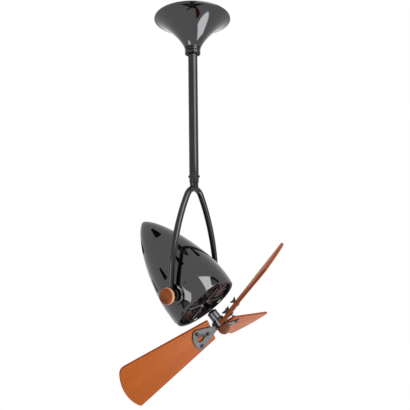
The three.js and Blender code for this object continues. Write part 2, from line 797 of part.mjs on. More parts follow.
function motorFrames() {
  const wallRadius = shellRadius - shellWall - frameShellGap;
  const upperEnd = upperFrame + frameThickness;
  const bearingHole = bearingRadius + fitGap;
  let upper = ring(wallRadius - 1, bearingHole, upperFrame, upperEnd, shellSides);
  upper = upper.add(ring(wallRadius, wallRadius - frameRimWall, upperFrame + frameThickness / 2,
    upperFrame + frameRimLength, shellSides));
  upper = upper.add(bearingSeat(upperFrame, 1));
  const notch = washerRadius + 1;
  const notchEnd = shellRadius - bossDepth;
  for (const [from, to] of [[-shellRadius, -notchEnd], [notchEnd, shellRadius]]) {
    upper = upper.subtract(block(from, to, -notch, notch, upperEnd + 0.5, washerRadius - 1.5));
  }
  const lowerEnd = lowerFrame + frameThickness;
  let lower = bearingSeat(lowerEnd, -1);
  const reach = boltCircle + armEndRadius;
  for (let i = 0; i < boltCount; i += 1) {
    const arm = block(bearingRadius + bossWall / 2, boltCircle, -armWidth / 2, armWidth / 2,
      lowerFrame, lowerEnd).add(shifted(ring(reach - boltCircle, 0, lowerFrame, lowerEnd, 16),
      boltCircle, 0, 0));
    lower = lower.add(turnedAboutZ(arm, -boltAt(i)));
  }
  lower = lower.subtract(ring(bearingHole, 0, lowerFrame - 20, lowerEnd + 20, 18));
  for (let i = 0; i < boltCount; i += 1) {
    const hole = shifted(ring(boltRadius + fitGap, 0, upperFrame - 5, lowerEnd + 5, 10),
      boltCircle, 0, 0);
    upper = upper.subtract(turnedAboutZ(hole, -boltAt(i)));
    lower = lower.subtract(turnedAboutZ(hole, -boltAt(i)));
    const headSeat = upperFrame - fitGap;
    const nutSeat = lowerEnd + fitGap;
    const bolt = ring(boltRadius, 0, headSeat - 1, nutSeat + 1, 8)
      .add(ring(boltHeadRadius, 0, headSeat - boltHeadLength, headSeat, 6))
      .add(turned([[0, nutSeat], [domeNutRadius, nutSeat], [domeNutRadius, nutSeat + domeNutLength],
        [domeNutRadius * 0.7, nutSeat + domeNutLength + 1.8], [0, nutSeat + domeNutLength + 2.6]], 8));
    add('motor_bolt_' + (i + 1), along(turnedAboutZ(shifted(bolt, boltCircle, 0, 0), -boltAt(i))),
      blackSteel, head);
  }
  const wellEnd = shellRadius - shellScrewGrip - shellScrewWell;
  const threadHole = alongX(ring(shellScrewRadius + fitGap, 0, wellEnd, shellRadius, 8));
  const inHead = along(upper).subtract(shellScrewPlace(threadHole));
  add('motor_frame_upper', inHead, blackSteel, head);
  add('motor_frame_lower', along(lower), blackSteel, head);
  const bearing = ring(bearingRadius, shaftRadius + fitGap, 0, bearingWidth, 18);
  const upperSeat = upperFrame + 0.5;
  const lowerSeat = lowerEnd - 0.5 - bearingWidth;
  add('bearing_upper', along(shifted(bearing, 0, 0, upperSeat)), zincSteel, head);
  add('bearing_lower', along(shifted(bearing, 0, 0, lowerSeat)), zincSteel, head);
}

function rotor() {
  const shaftEnd = hubEnd - hubWeb - fitGap;
  add('rotor_core', along(ring(rotorRadius, shaftRadius + fitGap, stackTop, stackEnd, 24)),
    siliconSteel, head);
  add('motor_shaft', along(ring(shaftRadius, 0, shaftTop, shaftEnd, 20)), zincSteel, head);
  const bore = shaftRadius + fitGap;
  const groove = hubRadius - hubGrooveDepth;
  const hub = turned([[bore, hubTop], [hubRadius - 0.8, hubTop], [hubRadius, hubTop + 0.8],
    [hubRadius, hubGrooveAt], [groove, hubGrooveAt], [groove, hubGrooveAt + hubGrooveWidth],
    [hubRadius, hubGrooveAt + hubGrooveWidth], [hubRadius, hubEnd], [capStudRadius, hubEnd],
    [capStudRadius, hubEnd + capStudLength], [0, hubEnd + capStudLength], [0, hubEnd - hubWeb],
    [bore, hubEnd - hubWeb], [bore, hubTop]], 18);
  let body = along(hub);
  for (let i = 0; i < bladePitches.length; i += 1) {
    const well = alongX(ring(padScrewRadius + fitGap, 0, hubRadius - padScrewGrip, hubRadius + 1, 8));
    body = body.subtract(padPlace(well, i));
  }
  add('hub', body, gunmetal, head);
}

function padPlace(body, i) {
  return moved(body, new THREE.Matrix4().makeTranslation(0, 0, -padScrewAlong)
    .multiply(new THREE.Matrix4().makeRotationZ(rad(bladeAzimuth(i)))));
}

function hubCap() {
  const low = hubEnd + fitGap;
  const bore = capStudRadius + fitGap;
  const profile = [[bore, low], [capRadius * 0.86, low], [capRadius, low + 2.5], [capRadius, low + 6]];
  const steps = 4;
  for (let i = 1; i <= steps; i += 1) {
    const a = i / steps * Math.PI / 2;
    profile.push([i === steps ? 0 : capRadius * Math.cos(a),
      low + 6 + (capLength - 6) * Math.sin(a)]);
  }
  const roof = hubEnd + capStudLength + runGap;
  profile.push([0, roof], [bore, roof], [bore, low]);
  add('hub_cap', along(turned(profile, 18)), darkWood, head);
}

// ================================================================ blades
function bladeAzimuth(i) {
  return bladePhase + 360 / bladePitches.length * i;
}

// The blade's own frame: x out along the blade, y across it, z through it towards the motor.
function bladeFrame(i) {
  return new THREE.Matrix4().makeTranslation(0, 0, -bladePlane)
    .multiply(new THREE.Matrix4().makeRotationZ(rad(bladeAzimuth(i))))
    .multiply(new THREE.Matrix4().makeRotationAxis(X, rad(bladePitches[i])));
}

function roundedCorner(outline, before, corner, after, radius) {
  const start = corner.clone().add(before.clone().sub(corner).setLength(radius));
  const end = corner.clone().add(after.clone().sub(corner).setLength(radius));
  outline.lineTo(start.x, start.y);
  outline.quadraticCurveTo(corner.x, corner.y, end.x, end.y);
}

function bladeOutline() {
  const point = (x, y) => new THREE.Vector2(x, y);
  const [rootLow, rootHigh] = [point(bladeRootReach, -bladeRootHalf), point(bladeRootReach, bladeRootHalf)];
  const [tipLow, tipHigh] = [point(bladeTipReach, -bladeTipHalf), point(bladeTipReach, bladeTipHalf)];
  const crown = point(bladeTipReach + bladeTipBulge * 2, 0);
  const outline = new THREE.Shape();
  outline.moveTo(bladeRootReach, 0);
  roundedCorner(outline, rootHigh, rootLow, tipLow, bladeRootRound);
  roundedCorner(outline, rootLow, tipLow, crown, bladeTrailRound);
  const from = tipLow.clone().add(crown.clone().sub(tipLow).setLength(bladeTrailRound));
  const to = tipHigh.clone().add(crown.clone().sub(tipHigh).setLength(bladeLeadRound));
  outline.bezierCurveTo(
    from.x + (crown.x - from.x) * 0.55, from.y + (crown.y - from.y) * 0.5,
    to.x + (crown.x - to.x) * 0.6, to.y + (crown.y - to.y) * 0.5,
    to.x, to.y,
  );
  const start = tipHigh.clone().add(rootHigh.clone().sub(tipHigh).setLength(bladeLeadRound));
  outline.quadraticCurveTo(tipHigh.x, tipHigh.y, start.x, start.y);
  roundedCorner(outline, tipHigh, rootHigh, rootLow, bladeRootRound);
  return outline;
}

const bladeScrews = [
  [bracketFrontScrew, 0],
  [bracketEarReach, bracketEarSide],
  [bracketEarReach, -bracketEarSide],
];

function blade(i) {
  let body = plate(bladeOutline(), -bladeThickness / 2, bladeThickness / 2, bladeEdge);
  for (const [x, y] of bladeScrews) {
    const hole = ring(bladeScrewRadius + fitGap, 0, -bladeThickness, bladeThickness, 6);
    body = body.subtract(shifted(hole, x, y, 0));
  }
  add('blade_' + (i + 1), moved(body, bladeFrame(i)), wood, head);
}

// A teardrop plate: a neck at the hub, two ears for the rear screws and a bowed end.
function bracketOutline() {
  const outline = new THREE.Shape();
  const neckX = hubRadius + fitGap + padThickness / 2;
  const toEar = Math.atan2(bracketEarSide - bracketNeckHalf, bracketEarReach - neckX);
  const spread = Math.asin(bracketEarRadius
    / Math.hypot(bracketEarSide - bracketNeckHalf, bracketEarReach - neckX));
  const tangent = -Math.PI / 2 - toEar - spread;
  const sideFall = bracketReach - bracketEarReach;
  const endRadius = (bracketEarSide ** 2 + sideFall ** 2 - bracketEarRadius ** 2)
    / (2 * (sideFall - bracketEarRadius));
  const endCentre = bracketReach - endRadius;
  const meet = Math.atan2(bracketEarSide, bracketEarReach - endCentre);
  outline.moveTo(neckX, 0);
  outline.lineTo(neckX, -bracketNeckHalf);
  outline.absarc(bracketEarReach, -bracketEarSide, bracketEarRadius, tangent, -meet, false);
  outline.absarc(endCentre, 0, endRadius, -meet, meet, false);
  outline.absarc(bracketEarReach, bracketEarSide, bracketEarRadius, meet, -tangent, false);
  outline.lineTo(neckX, bracketNeckHalf);
  const hole = new THREE.Path();
  hole.absellipse(bracketHoleReach, 0, bracketHoleLong, bracketHoleWide, 0, 2 * Math.PI, true, 0);
  outline.holes.push(hole);
  return outline;
}

function bracket(i) {
  const top = -bladeThickness / 2 - fitGap;
  let leaf = plate(bracketOutline(), top - bracketThickness, top);
  for (const [x, y] of bladeScrews) {
    const hole = ring(bladeScrewRadius + fitGap, 0, top - bracketThickness - 1, top + 1, 6);
    leaf = leaf.subtract(shifted(hole, x, y, 0));
  }
  const inner = hubRadius + fitGap;
  const sector = new THREE.Shape();
  const half = rad(padHalfAngle);
  sector.absarc(0, 0, inner + padThickness, -half, half, false);
  sector.absarc(0, 0, inner, half, -half, true);
  const pad = turnedAboutZ(plate(sector, -hubEnd + 0.5, -padTop), bladeAzimuth(i));
  const hubClear = ring(inner + 0.2, 0, -hubEnd - hubRadius, -hubTop, 20);
  let body = moved(leaf, bladeFrame(i)).subtract(hubClear).add(pad);
  const well = alongX(ring(padScrewRadius + fitGap, 0, hubRadius - 1, inner + padThickness + 1, 8));
  body = body.subtract(padPlace(well, i));
  add('blade_bracket_' + (i + 1), body, blackSteel, head);
  const seat = inner + padThickness + fitGap;
  const screw = alongX(ring(padScrewRadius, 0, hubRadius - padScrewGrip + fitGap, seat, 8)
    .add(ring(padScrewHeadRadius, 0, seat - 0.01, seat + padScrewHeadLength, 10)));
  add('bracket_screw_' + (i + 1), padPlace(screw, i), blackSteel, head);
}

// A pan-head screw up through bracket and blade, with its wing nut on the motor side.
function bladeBolt() {
  const headSeat = -bladeThickness / 2 - 2 * fitGap - bracketThickness;
  const nutSeat = bladeThickness / 2 + fitGap;
  const nutTop = nutSeat + wingNutLength;
  const wing = new THREE.Shape();
  wing.moveTo(-wingNutRadius * 0.6, nutSeat + 0.5);
  wing.lineTo(wingNutRadius * 0.6, nutSeat + 0.5);
  wing.lineTo(wingSpan / 2, nutSeat + wingHeight - 2);
  wing.lineTo(wingSpan / 2 - 1.5, nutSeat + wingHeight);
  wing.lineTo(wingNutRadius * 0.8, nutTop - 0.5);
  wing.lineTo(-wingNutRadius * 0.8, nutTop - 0.5);
  wing.lineTo(-wingSpan / 2 + 1.5, nutSeat + wingHeight);
  wing.lineTo(-wingSpan / 2, nutSeat + wingHeight - 2);
  const wings = moved(plate(wing, -wingThickness / 2, wingThickness / 2),
    new THREE.Matrix4().makeRotationX(Math.PI / 2));
  return ring(bladeScrewRadius, 0, headSeat - 1, nutTop + 1.5, 6)
    .add(ring(bladeScrewHeadRadius, 0, headSeat - bladeScrewHeadLength, headSeat, 8))
    .add(ring(wingNutRadius, 0, nutSeat, nutTop, 6))
    .add(wings);
}

function blades() {
  const bolt = bladeBolt();
  for (let i = 0; i < bladePitches.length; i += 1) {
    blade(i);
    bracket(i);
    bladeScrews.forEach(([x, y], k) => {
      const body = moved(shifted(bolt, x, y, 0), bladeFrame(i));
      add('blade_bolt_' + (i + 1) + '_' + (k + 1), body, blackSteel, head);
    });
  }
}

ceilingBracket();
ceilingParts();
canopy();
collar();
downRod();
yoke();
swivelStem();
motorShell();
pivots();
statorStack();
winding();
motorFrames();
rotor();
hubCap();
blades();

export default fan;
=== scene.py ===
import bpy
from math import acos, asin, atan2, cos, hypot, pi, radians, sin, sqrt
from mathutils import Matrix, Vector


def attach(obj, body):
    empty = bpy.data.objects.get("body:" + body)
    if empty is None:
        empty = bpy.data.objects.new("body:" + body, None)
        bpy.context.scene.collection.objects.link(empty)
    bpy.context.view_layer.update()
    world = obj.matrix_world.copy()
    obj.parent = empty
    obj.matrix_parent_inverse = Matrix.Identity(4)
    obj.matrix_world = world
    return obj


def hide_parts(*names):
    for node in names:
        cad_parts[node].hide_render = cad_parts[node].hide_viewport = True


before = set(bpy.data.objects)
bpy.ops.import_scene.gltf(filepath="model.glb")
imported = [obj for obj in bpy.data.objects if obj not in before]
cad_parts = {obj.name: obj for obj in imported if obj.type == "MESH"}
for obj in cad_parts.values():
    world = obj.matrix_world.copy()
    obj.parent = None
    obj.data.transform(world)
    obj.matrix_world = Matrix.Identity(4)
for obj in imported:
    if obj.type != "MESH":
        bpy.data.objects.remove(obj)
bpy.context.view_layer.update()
mm = 0.001

# the head tips about X at the pivot; inside it the motor axis is -Z
head = {"pivotDrop": 662, "tilt": 43.6}
headPlace = Matrix.Translation((0, 0, -head["pivotDrop"] * mm)) @ Matrix.Rotation(
    radians(-head["tilt"]), 4, "X")


# ---- small modelling helpers

def pick(*pieces):
    bpy.ops.object.select_all(action="DESELECT")
    for piece in pieces:
        piece.select_set(True)
    bpy.context.view_layer.objects.active = pieces[0]


def named(piece, name):
    piece.name = name
    piece.data.name = name
    return piece


def applyModifier(piece, kind, **values):
    pick(piece)
    modifier = piece.modifiers.new(kind.title(), kind)
    for key, value in values.items():
        setattr(modifier, key, value)
    bpy.ops.object.modifier_apply(modifier=modifier.name)


def bevelEdges(piece, width, segments=2, angle=30):
    applyModifier(piece, "BEVEL", width=width * mm, segments=segments, limit_method="ANGLE",
                  angle_limit=radians(angle), harden_normals=False)


def smooth(piece, angle=35):
    pick(piece)
    bpy.ops.object.shade_smooth_by_angle(angle=radians(angle))
    return piece


def place(piece, matrix):
    piece.data.transform(matrix)
    piece.data.update()
    return piece


def join(name, *pieces):
    pick(*pieces)
    bpy.ops.object.join()
    return named(bpy.context.object, name)


def copyOf(piece, name):
    twin = piece.copy()
    twin.data = piece.data.copy()
    bpy.context.collection.objects.link(twin)
    return named(twin, name)


def cut(piece, cutter, operation="DIFFERENCE"):
    applyModifier(piece, "BOOLEAN", operation=operation, object=cutter, solver="EXACT")
    bpy.data.objects.remove(cutter)
    return piece


def loopOf(points, fill="NOTHING"):
    bpy.ops.object.select_all(action="DESELECT")
    bpy.ops.mesh.primitive_circle_add(vertices=len(points), radius=1, fill_type=fill)
    piece = bpy.context.object
    for vertex, point in zip(piece.data.vertices, points):
        vertex.co = Vector(point) * mm
    return piece


# a turned piece about Z from [radius, z] points in mm; an open profile starts and ends on the axis
def turn(name, profile, steps=96, angle=35):
    onAxis = profile[0][0] < 1e-6 and profile[-1][0] < 1e-6
    piece = named(loopOf([(r, 0, z) for r, z in profile]), name)
    pick(piece)
    bpy.ops.object.mode_set(mode="EDIT")
    if onAxis:
        bpy.ops.mesh.select_all(action="DESELECT")
        bpy.ops.object.mode_set(mode="OBJECT")
        last = len(profile) - 1
        for edge in piece.data.edges:
            edge.select = set(edge.vertices) == {0, last}
        bpy.ops.object.mode_set(mode="EDIT")
        bpy.ops.mesh.select_mode(type="EDGE")
        bpy.ops.mesh.delete(type="EDGE_FACE")
    bpy.ops.mesh.select_all(action="SELECT")
    bpy.ops.mesh.spin(steps=steps, angle=2 * pi, center=(0, 0, 0), axis=(0, 0, 1))
    bpy.ops.mesh.select_all(action="SELECT")
    bpy.ops.mesh.remove_doubles(threshold=1e-6)
    bpy.ops.mesh.normals_make_consistent(inside=False)
    bpy.ops.object.mode_set(mode="OBJECT")
    return smooth(piece, angle)


# a flat plate from an outline in mm, from low to high along Z, with softened edges
def cutPlate(name, outline, low, high, edge, segments=2):
    piece = named(loopOf([(x, y, low) for x, y in outline], "NGON"), name)
    pick(piece)
    bpy.ops.object.mode_set(mode="EDIT")
    bpy.ops.mesh.select_all(action="SELECT")
    bpy.ops.mesh.extrude_region_move(TRANSFORM_OT_translate={"value": (0, 0, (high - low) * mm)})
    bpy.ops.mesh.select_all(action="SELECT")
    bpy.ops.mesh.normals_make_consistent(inside=False)
    bpy.ops.object.mode_set(mode="OBJECT")
    if edge > 0:
        bevelEdges(piece, edge, segments)
    return smooth(piece)


def arc(cx, cy, radius, start, end, steps):
    return [(cx + radius * cos(start + (end - start) * i / steps),
             cy + radius * sin(start + (end - start) * i / steps)) for i in range(steps + 1)]


# the bend that takes the place of one corner, starting amount mm before it
def corner(before, here, after, amount, steps):
    start = here + (before - here).normalized() * amount
    end = here + (after - here).normalized() * amount
    return [tuple(start * (1 - t) ** 2 + here * 2 * t * (1 - t) + end * t * t)
            for t in [k / steps for k in range(steps + 1)]]


def filleted(points, amounts, steps=6):
    done = []
    for i, (point, amount) in enumerate(zip(points, amounts)):
        after = Vector(points[(i + 1) % len(points)])
        done += corner(Vector(points[i - 1]), Vector(point), after, amount, steps)
    return done


def dress(piece, material, body, slot, *nodes):
    piece.data.materials.clear()
    piece.data.materials.append(material)
    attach(piece, body)
    if nodes:
        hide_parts(*nodes)
    return piece


# ---- shader node groups

def newGroup(name, inputs, outputs):
    group = bpy.data.node_groups.new(name, "ShaderNodeTree")
    for label, kind, value in inputs:
        socket = group.interface.new_socket(label, in_out="INPUT", socket_type="NodeSocket" + kind)
        if value is not None:
            socket.default_value = value
    for label, kind in outputs:
        group.interface.new_socket(label, in_out="OUTPUT", socket_type="NodeSocket" + kind)
    entry = group.nodes.new("NodeGroupInput")
    result = group.nodes.new("NodeGroupOutput")
    return group, entry, result


def addNode(tree, kind, inputs=(), **values):
    node = tree.nodes.new("ShaderNode" + kind)
    for key, value in values.items():
        setattr(node, key, value)
    for key, value in dict(inputs).items():
        socket = node.inputs[key]
        if isinstance(value, bpy.types.NodeSocket):
            tree.links.new(value, socket)
        else:
            socket.default_value = value
    return node


def stretched(tree, value, low, high, outLow, outHigh):
    node = addNode(tree, "MapRange", {"Value": value, "From Min": low, "From Max": high,
                                      "To Min": outLow, "To Max": outHigh})
    return node.outputs["Result"]


def blended(tree, factor, first, second):
    node = addNode(tree, "Mix", data_type="RGBA")
    for socket, value in ((node.inputs[0], factor), (node.inputs[6], first), (node.inputs[7], second)):
        if isinstance(value, bpy.types.NodeSocket):
            tree.links.new(value, socket)
        else:
            socket.default_value = value
    return node.outputs[2]


def handledMetal():
    group, entry, result = newGroup("handledMetal", [
        ("Vector", "Vector", None), ("Tone", "Color", (0.07, 0.07, 0.075, 1)),
        ("Smudge Scale", "Float", 18.0), ("Smudge Strength", "Float", 0.1),
        ("Rough Low", "Float", 0.06), ("Rough High", "Float", 0.14),
        ("Speck Scale", "Float", 900.0)],
        [("Color", "Color"), ("Roughness", "Float"), ("Height", "Float")])
    smudge = addNode(group, "TexNoise", {"Vector": entry.outputs["Vector"],
                                         "Scale": entry.outputs["Smudge Scale"], "Detail": 5.0,
                                         "Roughness": 0.6})
    speck = addNode(group, "TexNoise", {"Vector": entry.outputs["Vector"],
                                        "Scale": entry.outputs["Speck Scale"], "Detail": 2.0})
    mask = stretched(group, smudge.outputs["Fac"], 0.35, 0.7, 0.0, 1.0)
    rough = addNode(group, "MapRange", {"Value": mask, "To Min": entry.outputs["Rough Low"],
                                        "To Max": entry.outputs["Rough High"]})
    dull = addNode(group, "Math", {0: mask, 1: entry.outputs["Smudge Strength"]}, operation="MULTIPLY")
    dusty = blended(group, dull.outputs[0], entry.outputs["Tone"], (0.16, 0.16, 0.16, 1))
    group.links.new(dusty, result.inputs["Color"])
    group.links.new(rough.outputs["Result"], result.inputs["Roughness"])
    group.links.new(speck.outputs["Fac"], result.inputs["Height"])
    return group


def turnedWood():
    group, entry, result = newGroup("turnedWood", [
        ("Vector", "Vector", None), ("Light", "Color", (0.5, 0.16, 0.04, 1)),
        ("Dark", "Color", (0.3, 0.07, 0.015, 1)), ("Pore", "Color", (0.1, 0.02, 0.005, 1)),
        ("Figure", "Float", 1.0)],
        [("Color", "Color"), ("Roughness", "Float"), ("Height", "Float")])
    lengthwise = addNode(group, "Mapping", {"Vector": entry.outputs["Vector"], "Scale": (2.2, 26.0, 26.0)})
    figure = addNode(group, "TexNoise", {"Vector": lengthwise.outputs[0], "Scale": 1.0, "Detail": 6.0,
                                         "Roughness": 0.55, "Distortion": 0.6})
    fine = addNode(group, "Mapping", {"Vector": entry.outputs["Vector"], "Scale": (9.0, 420.0, 420.0)})
    grain = addNode(group, "TexNoise", {"Vector": fine.outputs[0], "Scale": 1.0, "Detail": 4.0})
    short = addNode(group, "Mapping", {"Vector": entry.outputs["Vector"], "Scale": (60.0, 1300.0, 1300.0)})
    pores = addNode(group, "TexNoise", {"Vector": short.outputs[0], "Scale": 1.0, "Detail": 1.0})
    broad = stretched(group, figure.outputs["Fac"], 0.3, 0.7, 0.0, 1.0)
    lines = stretched(group, grain.outputs["Fac"], 0.3, 0.7, 0.0, 1.0)
    amount = addNode(group, "Math", {0: broad, 1: entry.outputs["Figure"]}, operation="MULTIPLY")
    base = blended(group, amount.outputs[0], entry.outputs["Light"], entry.outputs["Dark"])
    lineAmount = addNode(group, "Math", {0: lines, 1: 0.5}, operation="MULTIPLY")
    lined = blended(group, lineAmount.outputs[0], base, entry.outputs["Dark"])
    poreMask = stretched(group, pores.outputs["Fac"], 0.66, 0.74, 0.0, 0.45)
    pored = blended(group, poreMask, lined, entry.outputs["Pore"])
    rough = stretched(group, grain.outputs["Fac"], 0.3, 0.7, 0.4, 0.55)
    group.links.new(pored, result.inputs["Color"])
    group.links.new(rough, result.inputs["Roughness"])
    group.links.new(grain.outputs["Fac"], result.inputs["Height"])
    return group


handledMetalGroup = handledMetal()
turnedWoodGroup = turnedWood()
print("node groups ready")


# ---- materials

def newMaterial(name):
    material = bpy.data.materials.new(name)
    material.use_nodes = True
    tree = material.node_tree
    shader = tree.nodes["Principled BSDF"]
    coordinates = tree.nodes.new("ShaderNodeTexCoord")
    return material, tree, shader, coordinates.outputs["Object"]


def useGroup(tree, group, values):
    node = tree.nodes.new("ShaderNodeGroup")
    node.node_tree = group
    for key, value in values.items():
        if isinstance(value, bpy.types.NodeSocket):
            tree.links.new(value, node.inputs[key])
        else:
            node.inputs[key].default_value = value
    return node


def wire(tree, shader, effect, bump, distance):
    tree.links.new(effect.outputs["Color"], shader.inputs["Base Color"])
    tree.links.new(effect.outputs["Roughness"], shader.inputs["Roughness"])
    raised = addNode(tree, "Bump", {"Height": effect.outputs["Height"], "Strength": bump,
                                    "Distance": distance})
    tree.links.new(raised.outputs["Normal"], shader.inputs["Normal"])


def metalFinish(name, tone, roughLow, roughHigh, smudge=0.1, metallic=1.0, bump=0.02,
                speckScale=900.0):
    material, tree, shader, where = newMaterial(name)
    effect = useGroup(tree, handledMetalGroup, {
        "Vector": where, "Tone": (*tone, 1), "Smudge Strength": smudge,
        "Rough Low": roughLow, "Rough High": roughHigh, "Speck Scale": speckScale})
    wire(tree, shader, effect, bump, 0.0002)
    shader.inputs["Metallic"].default_value = metallic
    return material


# grain runs along local X of the piece; turnTo lays it there
def woodFinish(name, light, dark, turnTo=(0, 0, 0), centre=(0, 0, 0), figure=0.6):
    material, tree, shader, where = newMaterial(name)
    local = addNode(tree, "Mapping", {"Vector": where, "Location": centre, "Rotation": turnTo},
                    vector_type="TEXTURE")
    effect = useGroup(tree, turnedWoodGroup, {
        "Vector": local.outputs[0], "Light": (*light, 1), "Dark": (*dark, 1), "Figure": figure,
        "Pore": (dark[0] * 0.4, dark[1] * 0.35, dark[2] * 0.3, 1)})
    wire(tree, shader, effect, 0.06, 0.0004)
    shader.inputs["Coat Weight"].default_value = 0.04
    shader.inputs["Coat Roughness"].default_value = 0.25
    shader.inputs["Specular IOR Level"].default_value = 0.12
    return material, tree, shader, effect, local.outputs[0]


# the wood's edge band: painted shade, the cut edge round the piece is coloured darker than its faces
def bladeWood(name, matrix, faceLight, faceDark, edgeShadeTone, halfThick):
    material, tree, shader, effect, local = woodFinish(
        name, faceLight, faceDark, tuple(matrix.to_euler()), tuple(matrix.to_translation()))
    split = addNode(tree, "SeparateXYZ", {"Vector": local})
    height = addNode(tree, "Math", {0: split.outputs["Z"]}, operation="ABSOLUTE")
    edge = stretched(tree, height.outputs[0], (halfThick - 0.9) * mm, (halfThick - 0.3) * mm, 1.0, 0.0)
    # painted shade: the band between the two faces takes the darker edge colour
    shade = blended(tree, edge, effect.outputs["Color"], (*edgeShadeTone, 1))
    tree.links.new(shade, shader.inputs["Base Color"])
    return material


finishes = {
    "shell": {"tone": (0.074, 0.074, 0.077), "roughLow": 0.035, "roughHigh": 0.07, "smudge": 0.03},
    "canopy": {"tone": (0.07, 0.07, 0.073), "roughLow": 0.05, "roughHigh": 0.1, "smudge": 0.04},
    # painted shade: rod, collar, yoke, stem and shaft get a darker copy of the gunmetal, about half the
    # canopy's tone, for the rod's darker look
    "tube": {"tone": (0.036, 0.036, 0.038), "roughLow": 0.08, "roughHigh": 0.16, "smudge": 0.04},
    "hub": {"tone": (0.06, 0.06, 0.062), "roughLow": 0.05, "roughHigh": 0.1, "smudge": 0.03},
    "plate": {"tone": (0.045, 0.045, 0.047), "roughLow": 0.3, "roughHigh": 0.42, "smudge": 0.05},
    "screw": {"tone": (0.03, 0.03, 0.032), "roughLow": 0.2, "roughHigh": 0.35, "smudge": 0.1},
    "zinc": {"tone": (0.42, 0.43, 0.44), "roughLow": 0.25, "roughHigh": 0.4, "smudge": 0.2},
}
metals = {key: metalFinish(key + "Metal", **values) for key, values in finishes.items()}


def laminated():
    material, tree, shader, where = newMaterial("laminatedSteel")
    local = addNode(tree, "Mapping", {"Vector": where, "Rotation": (radians(-head["tilt"]), 0, 0),
                                      "Location": (0, 0, -head["pivotDrop"] * mm)},
                    vector_type="TEXTURE")
    sheets = addNode(tree, "TexWave", {"Vector": local.outputs[0], "Scale": 320.0, "Distortion": 0.2},
                     bands_direction="Z")
    tone = blended(tree, sheets.outputs["Fac"], (0.05, 0.05, 0.052, 1), (0.2, 0.2, 0.21, 1))
    raised = addNode(tree, "Bump", {"Height": sheets.outputs["Fac"], "Strength": 0.5, "Distance": 0.0003})
    tree.links.new(tone, shader.inputs["Base Color"])
    tree.links.new(raised.outputs["Normal"], shader.inputs["Normal"])
    shader.inputs["Metallic"].default_value = 0.8
    shader.inputs["Roughness"].default_value = 0.5
    return material


def plainFinish(name, tone, roughLow, roughHigh, speckScale=600.0, bump=0.15):
    return metalFinish(name, tone, roughLow, roughHigh, smudge=0.08, metallic=0.0, bump=bump,
                       speckScale=speckScale)


laminatedSteel = laminated()
blackRubber = plainFinish("blackRubber", (0.02, 0.02, 0.02), 0.7, 0.85)
paleNylon = plainFinish("paleNylon", (0.7, 0.67, 0.6), 0.4, 0.5)
blackPlastic = plainFinish("blackPlastic", (0.03, 0.03, 0.03), 0.4, 0.55)
enamelWire = plainFinish("enamelWire", (0.06, 0.007, 0.004), 0.3, 0.45, 1500.0, 0.05)
# painted shade: a near-black for the inside of the shell and the sheet round the motor, where shade falls
insideShadePaint = plainFinish("insideShadePaint", (0.006, 0.006, 0.006), 0.6, 0.8)
framePaint = plainFinish("framePaint", (0.008, 0.008, 0.008), 0.45, 0.6)
print("materials ready")


# ---- canopy and collar

canopySize = {"rimRadius": 92.7, "rimTop": 3, "rimEdge": 3, "neckRadius": 19.2, "neckDrop": 78,
              "power": 1.31, "wall": 1.5, "collarTop": 75.7, "flareSteps": 56,
              "rimRound": ((0, 1.2), (0.25, 0.4), (0.75, 0))}
collarSize = {"top": 76, "length": 15.5, "radius": 19.2, "bore": 11.9, "sleeve": 13.6,
              "recess": 16.2, "recessDepth": 5.5, "spigot": 6.5, "spigotRadius": 17.3, "roll": 2.4,
              "beads": ((0, 2.4), (0, 6.2), (0.5, 7), (0.9, 7.6), (0.9, 9), (0.2, 9.4), (0.2, 11.4),
                        (1.3, 11.8), (1.3, 13.2), (0.3, 13.6))}


def insetProfile(profile, wall):
    inner = []
    for i, (r, z) in enumerate(profile):
        r0, z0 = profile[max(i - 1, 0)]
        r1, z1 = profile[min(i + 1, len(profile) - 1)]
        length = hypot(r1 - r0, z1 - z0)
        inner.append((max(r - wall * (z1 - z0) / length, 0.0), z + wall * (r1 - r0) / length))
    return inner


def makeCanopy():
    c = canopySize
    last = c["rimTop"] + c["rimEdge"]
    power = 2 / c["power"]
    flare = []
    for i in range(c["flareSteps"] + 1):
        t = i / c["flareSteps"] * pi / 2
        r = c["rimRadius"] - (c["rimRadius"] - c["neckRadius"]) * cos(t) ** power
        drop = c["neckDrop"] - (c["neckDrop"] - last) * sin(t) ** power
        if drop < c["collarTop"]:
            flare.append((r, -drop))
    outer = [(flare[0][0], -c["collarTop"])] + flare
    inner = insetProfile(outer, c["wall"])
    inner[0] = (inner[0][0], -c["collarTop"])
    rimTop = -c["rimTop"]
    rim = [(c["rimRadius"] - inset, rimTop - below) for inset, below in c["rimRound"]]
    rim.append((c["rimRadius"] - c["wall"], rimTop))
    inner[-1] = (c["rimRadius"] - c["wall"], inner[-1][1])
    canopy = turn("canopyBell", outer + rim + inner[::-1], 160)
    return dress(canopy, metals["canopy"], "canopy", "gunmetal", "canopy")


# a ring rolled under at its foot, round a short sleeve on the rod, with two grooves above
def makeCollar():
    c = collarSize
    low = -c["top"] - c["length"]
    roll = c["roll"]
    profile = [(c["bore"], low + 0.3), (c["sleeve"] - 0.5, low + 0.3), (c["sleeve"], low + 0.8),
               (c["sleeve"], low + c["recessDepth"]), (c["recess"], low + c["recessDepth"]),
               (c["recess"], low + roll)]
    middle = (c["recess"] + c["radius"]) / 2
    half = (c["radius"] - c["recess"]) / 2
    profile += [(middle - half * cos(a), low + roll - roll * sin(a)) for a in
                [pi * k / 10 for k in range(1, 10)]]
    profile += [(c["radius"] - inset, low + up) for inset, up in c["beads"]]
    profile += [(c["radius"] - c["beads"][-1][0], -c["top"]),
                (c["spigotRadius"], -c["top"]), (c["spigotRadius"], -c["top"] + c["spigot"]),
                (c["bore"], -c["top"] + c["spigot"])]
    collar = turn("canopyCollarRing", profile, 128, 40)
    return dress(collar, metals["tube"], "canopy", "gunmetal", "canopy_collar")


makeCanopy()
makeCollar()
print("canopy ready")


# ---- down rod, its screws and the swivel stem

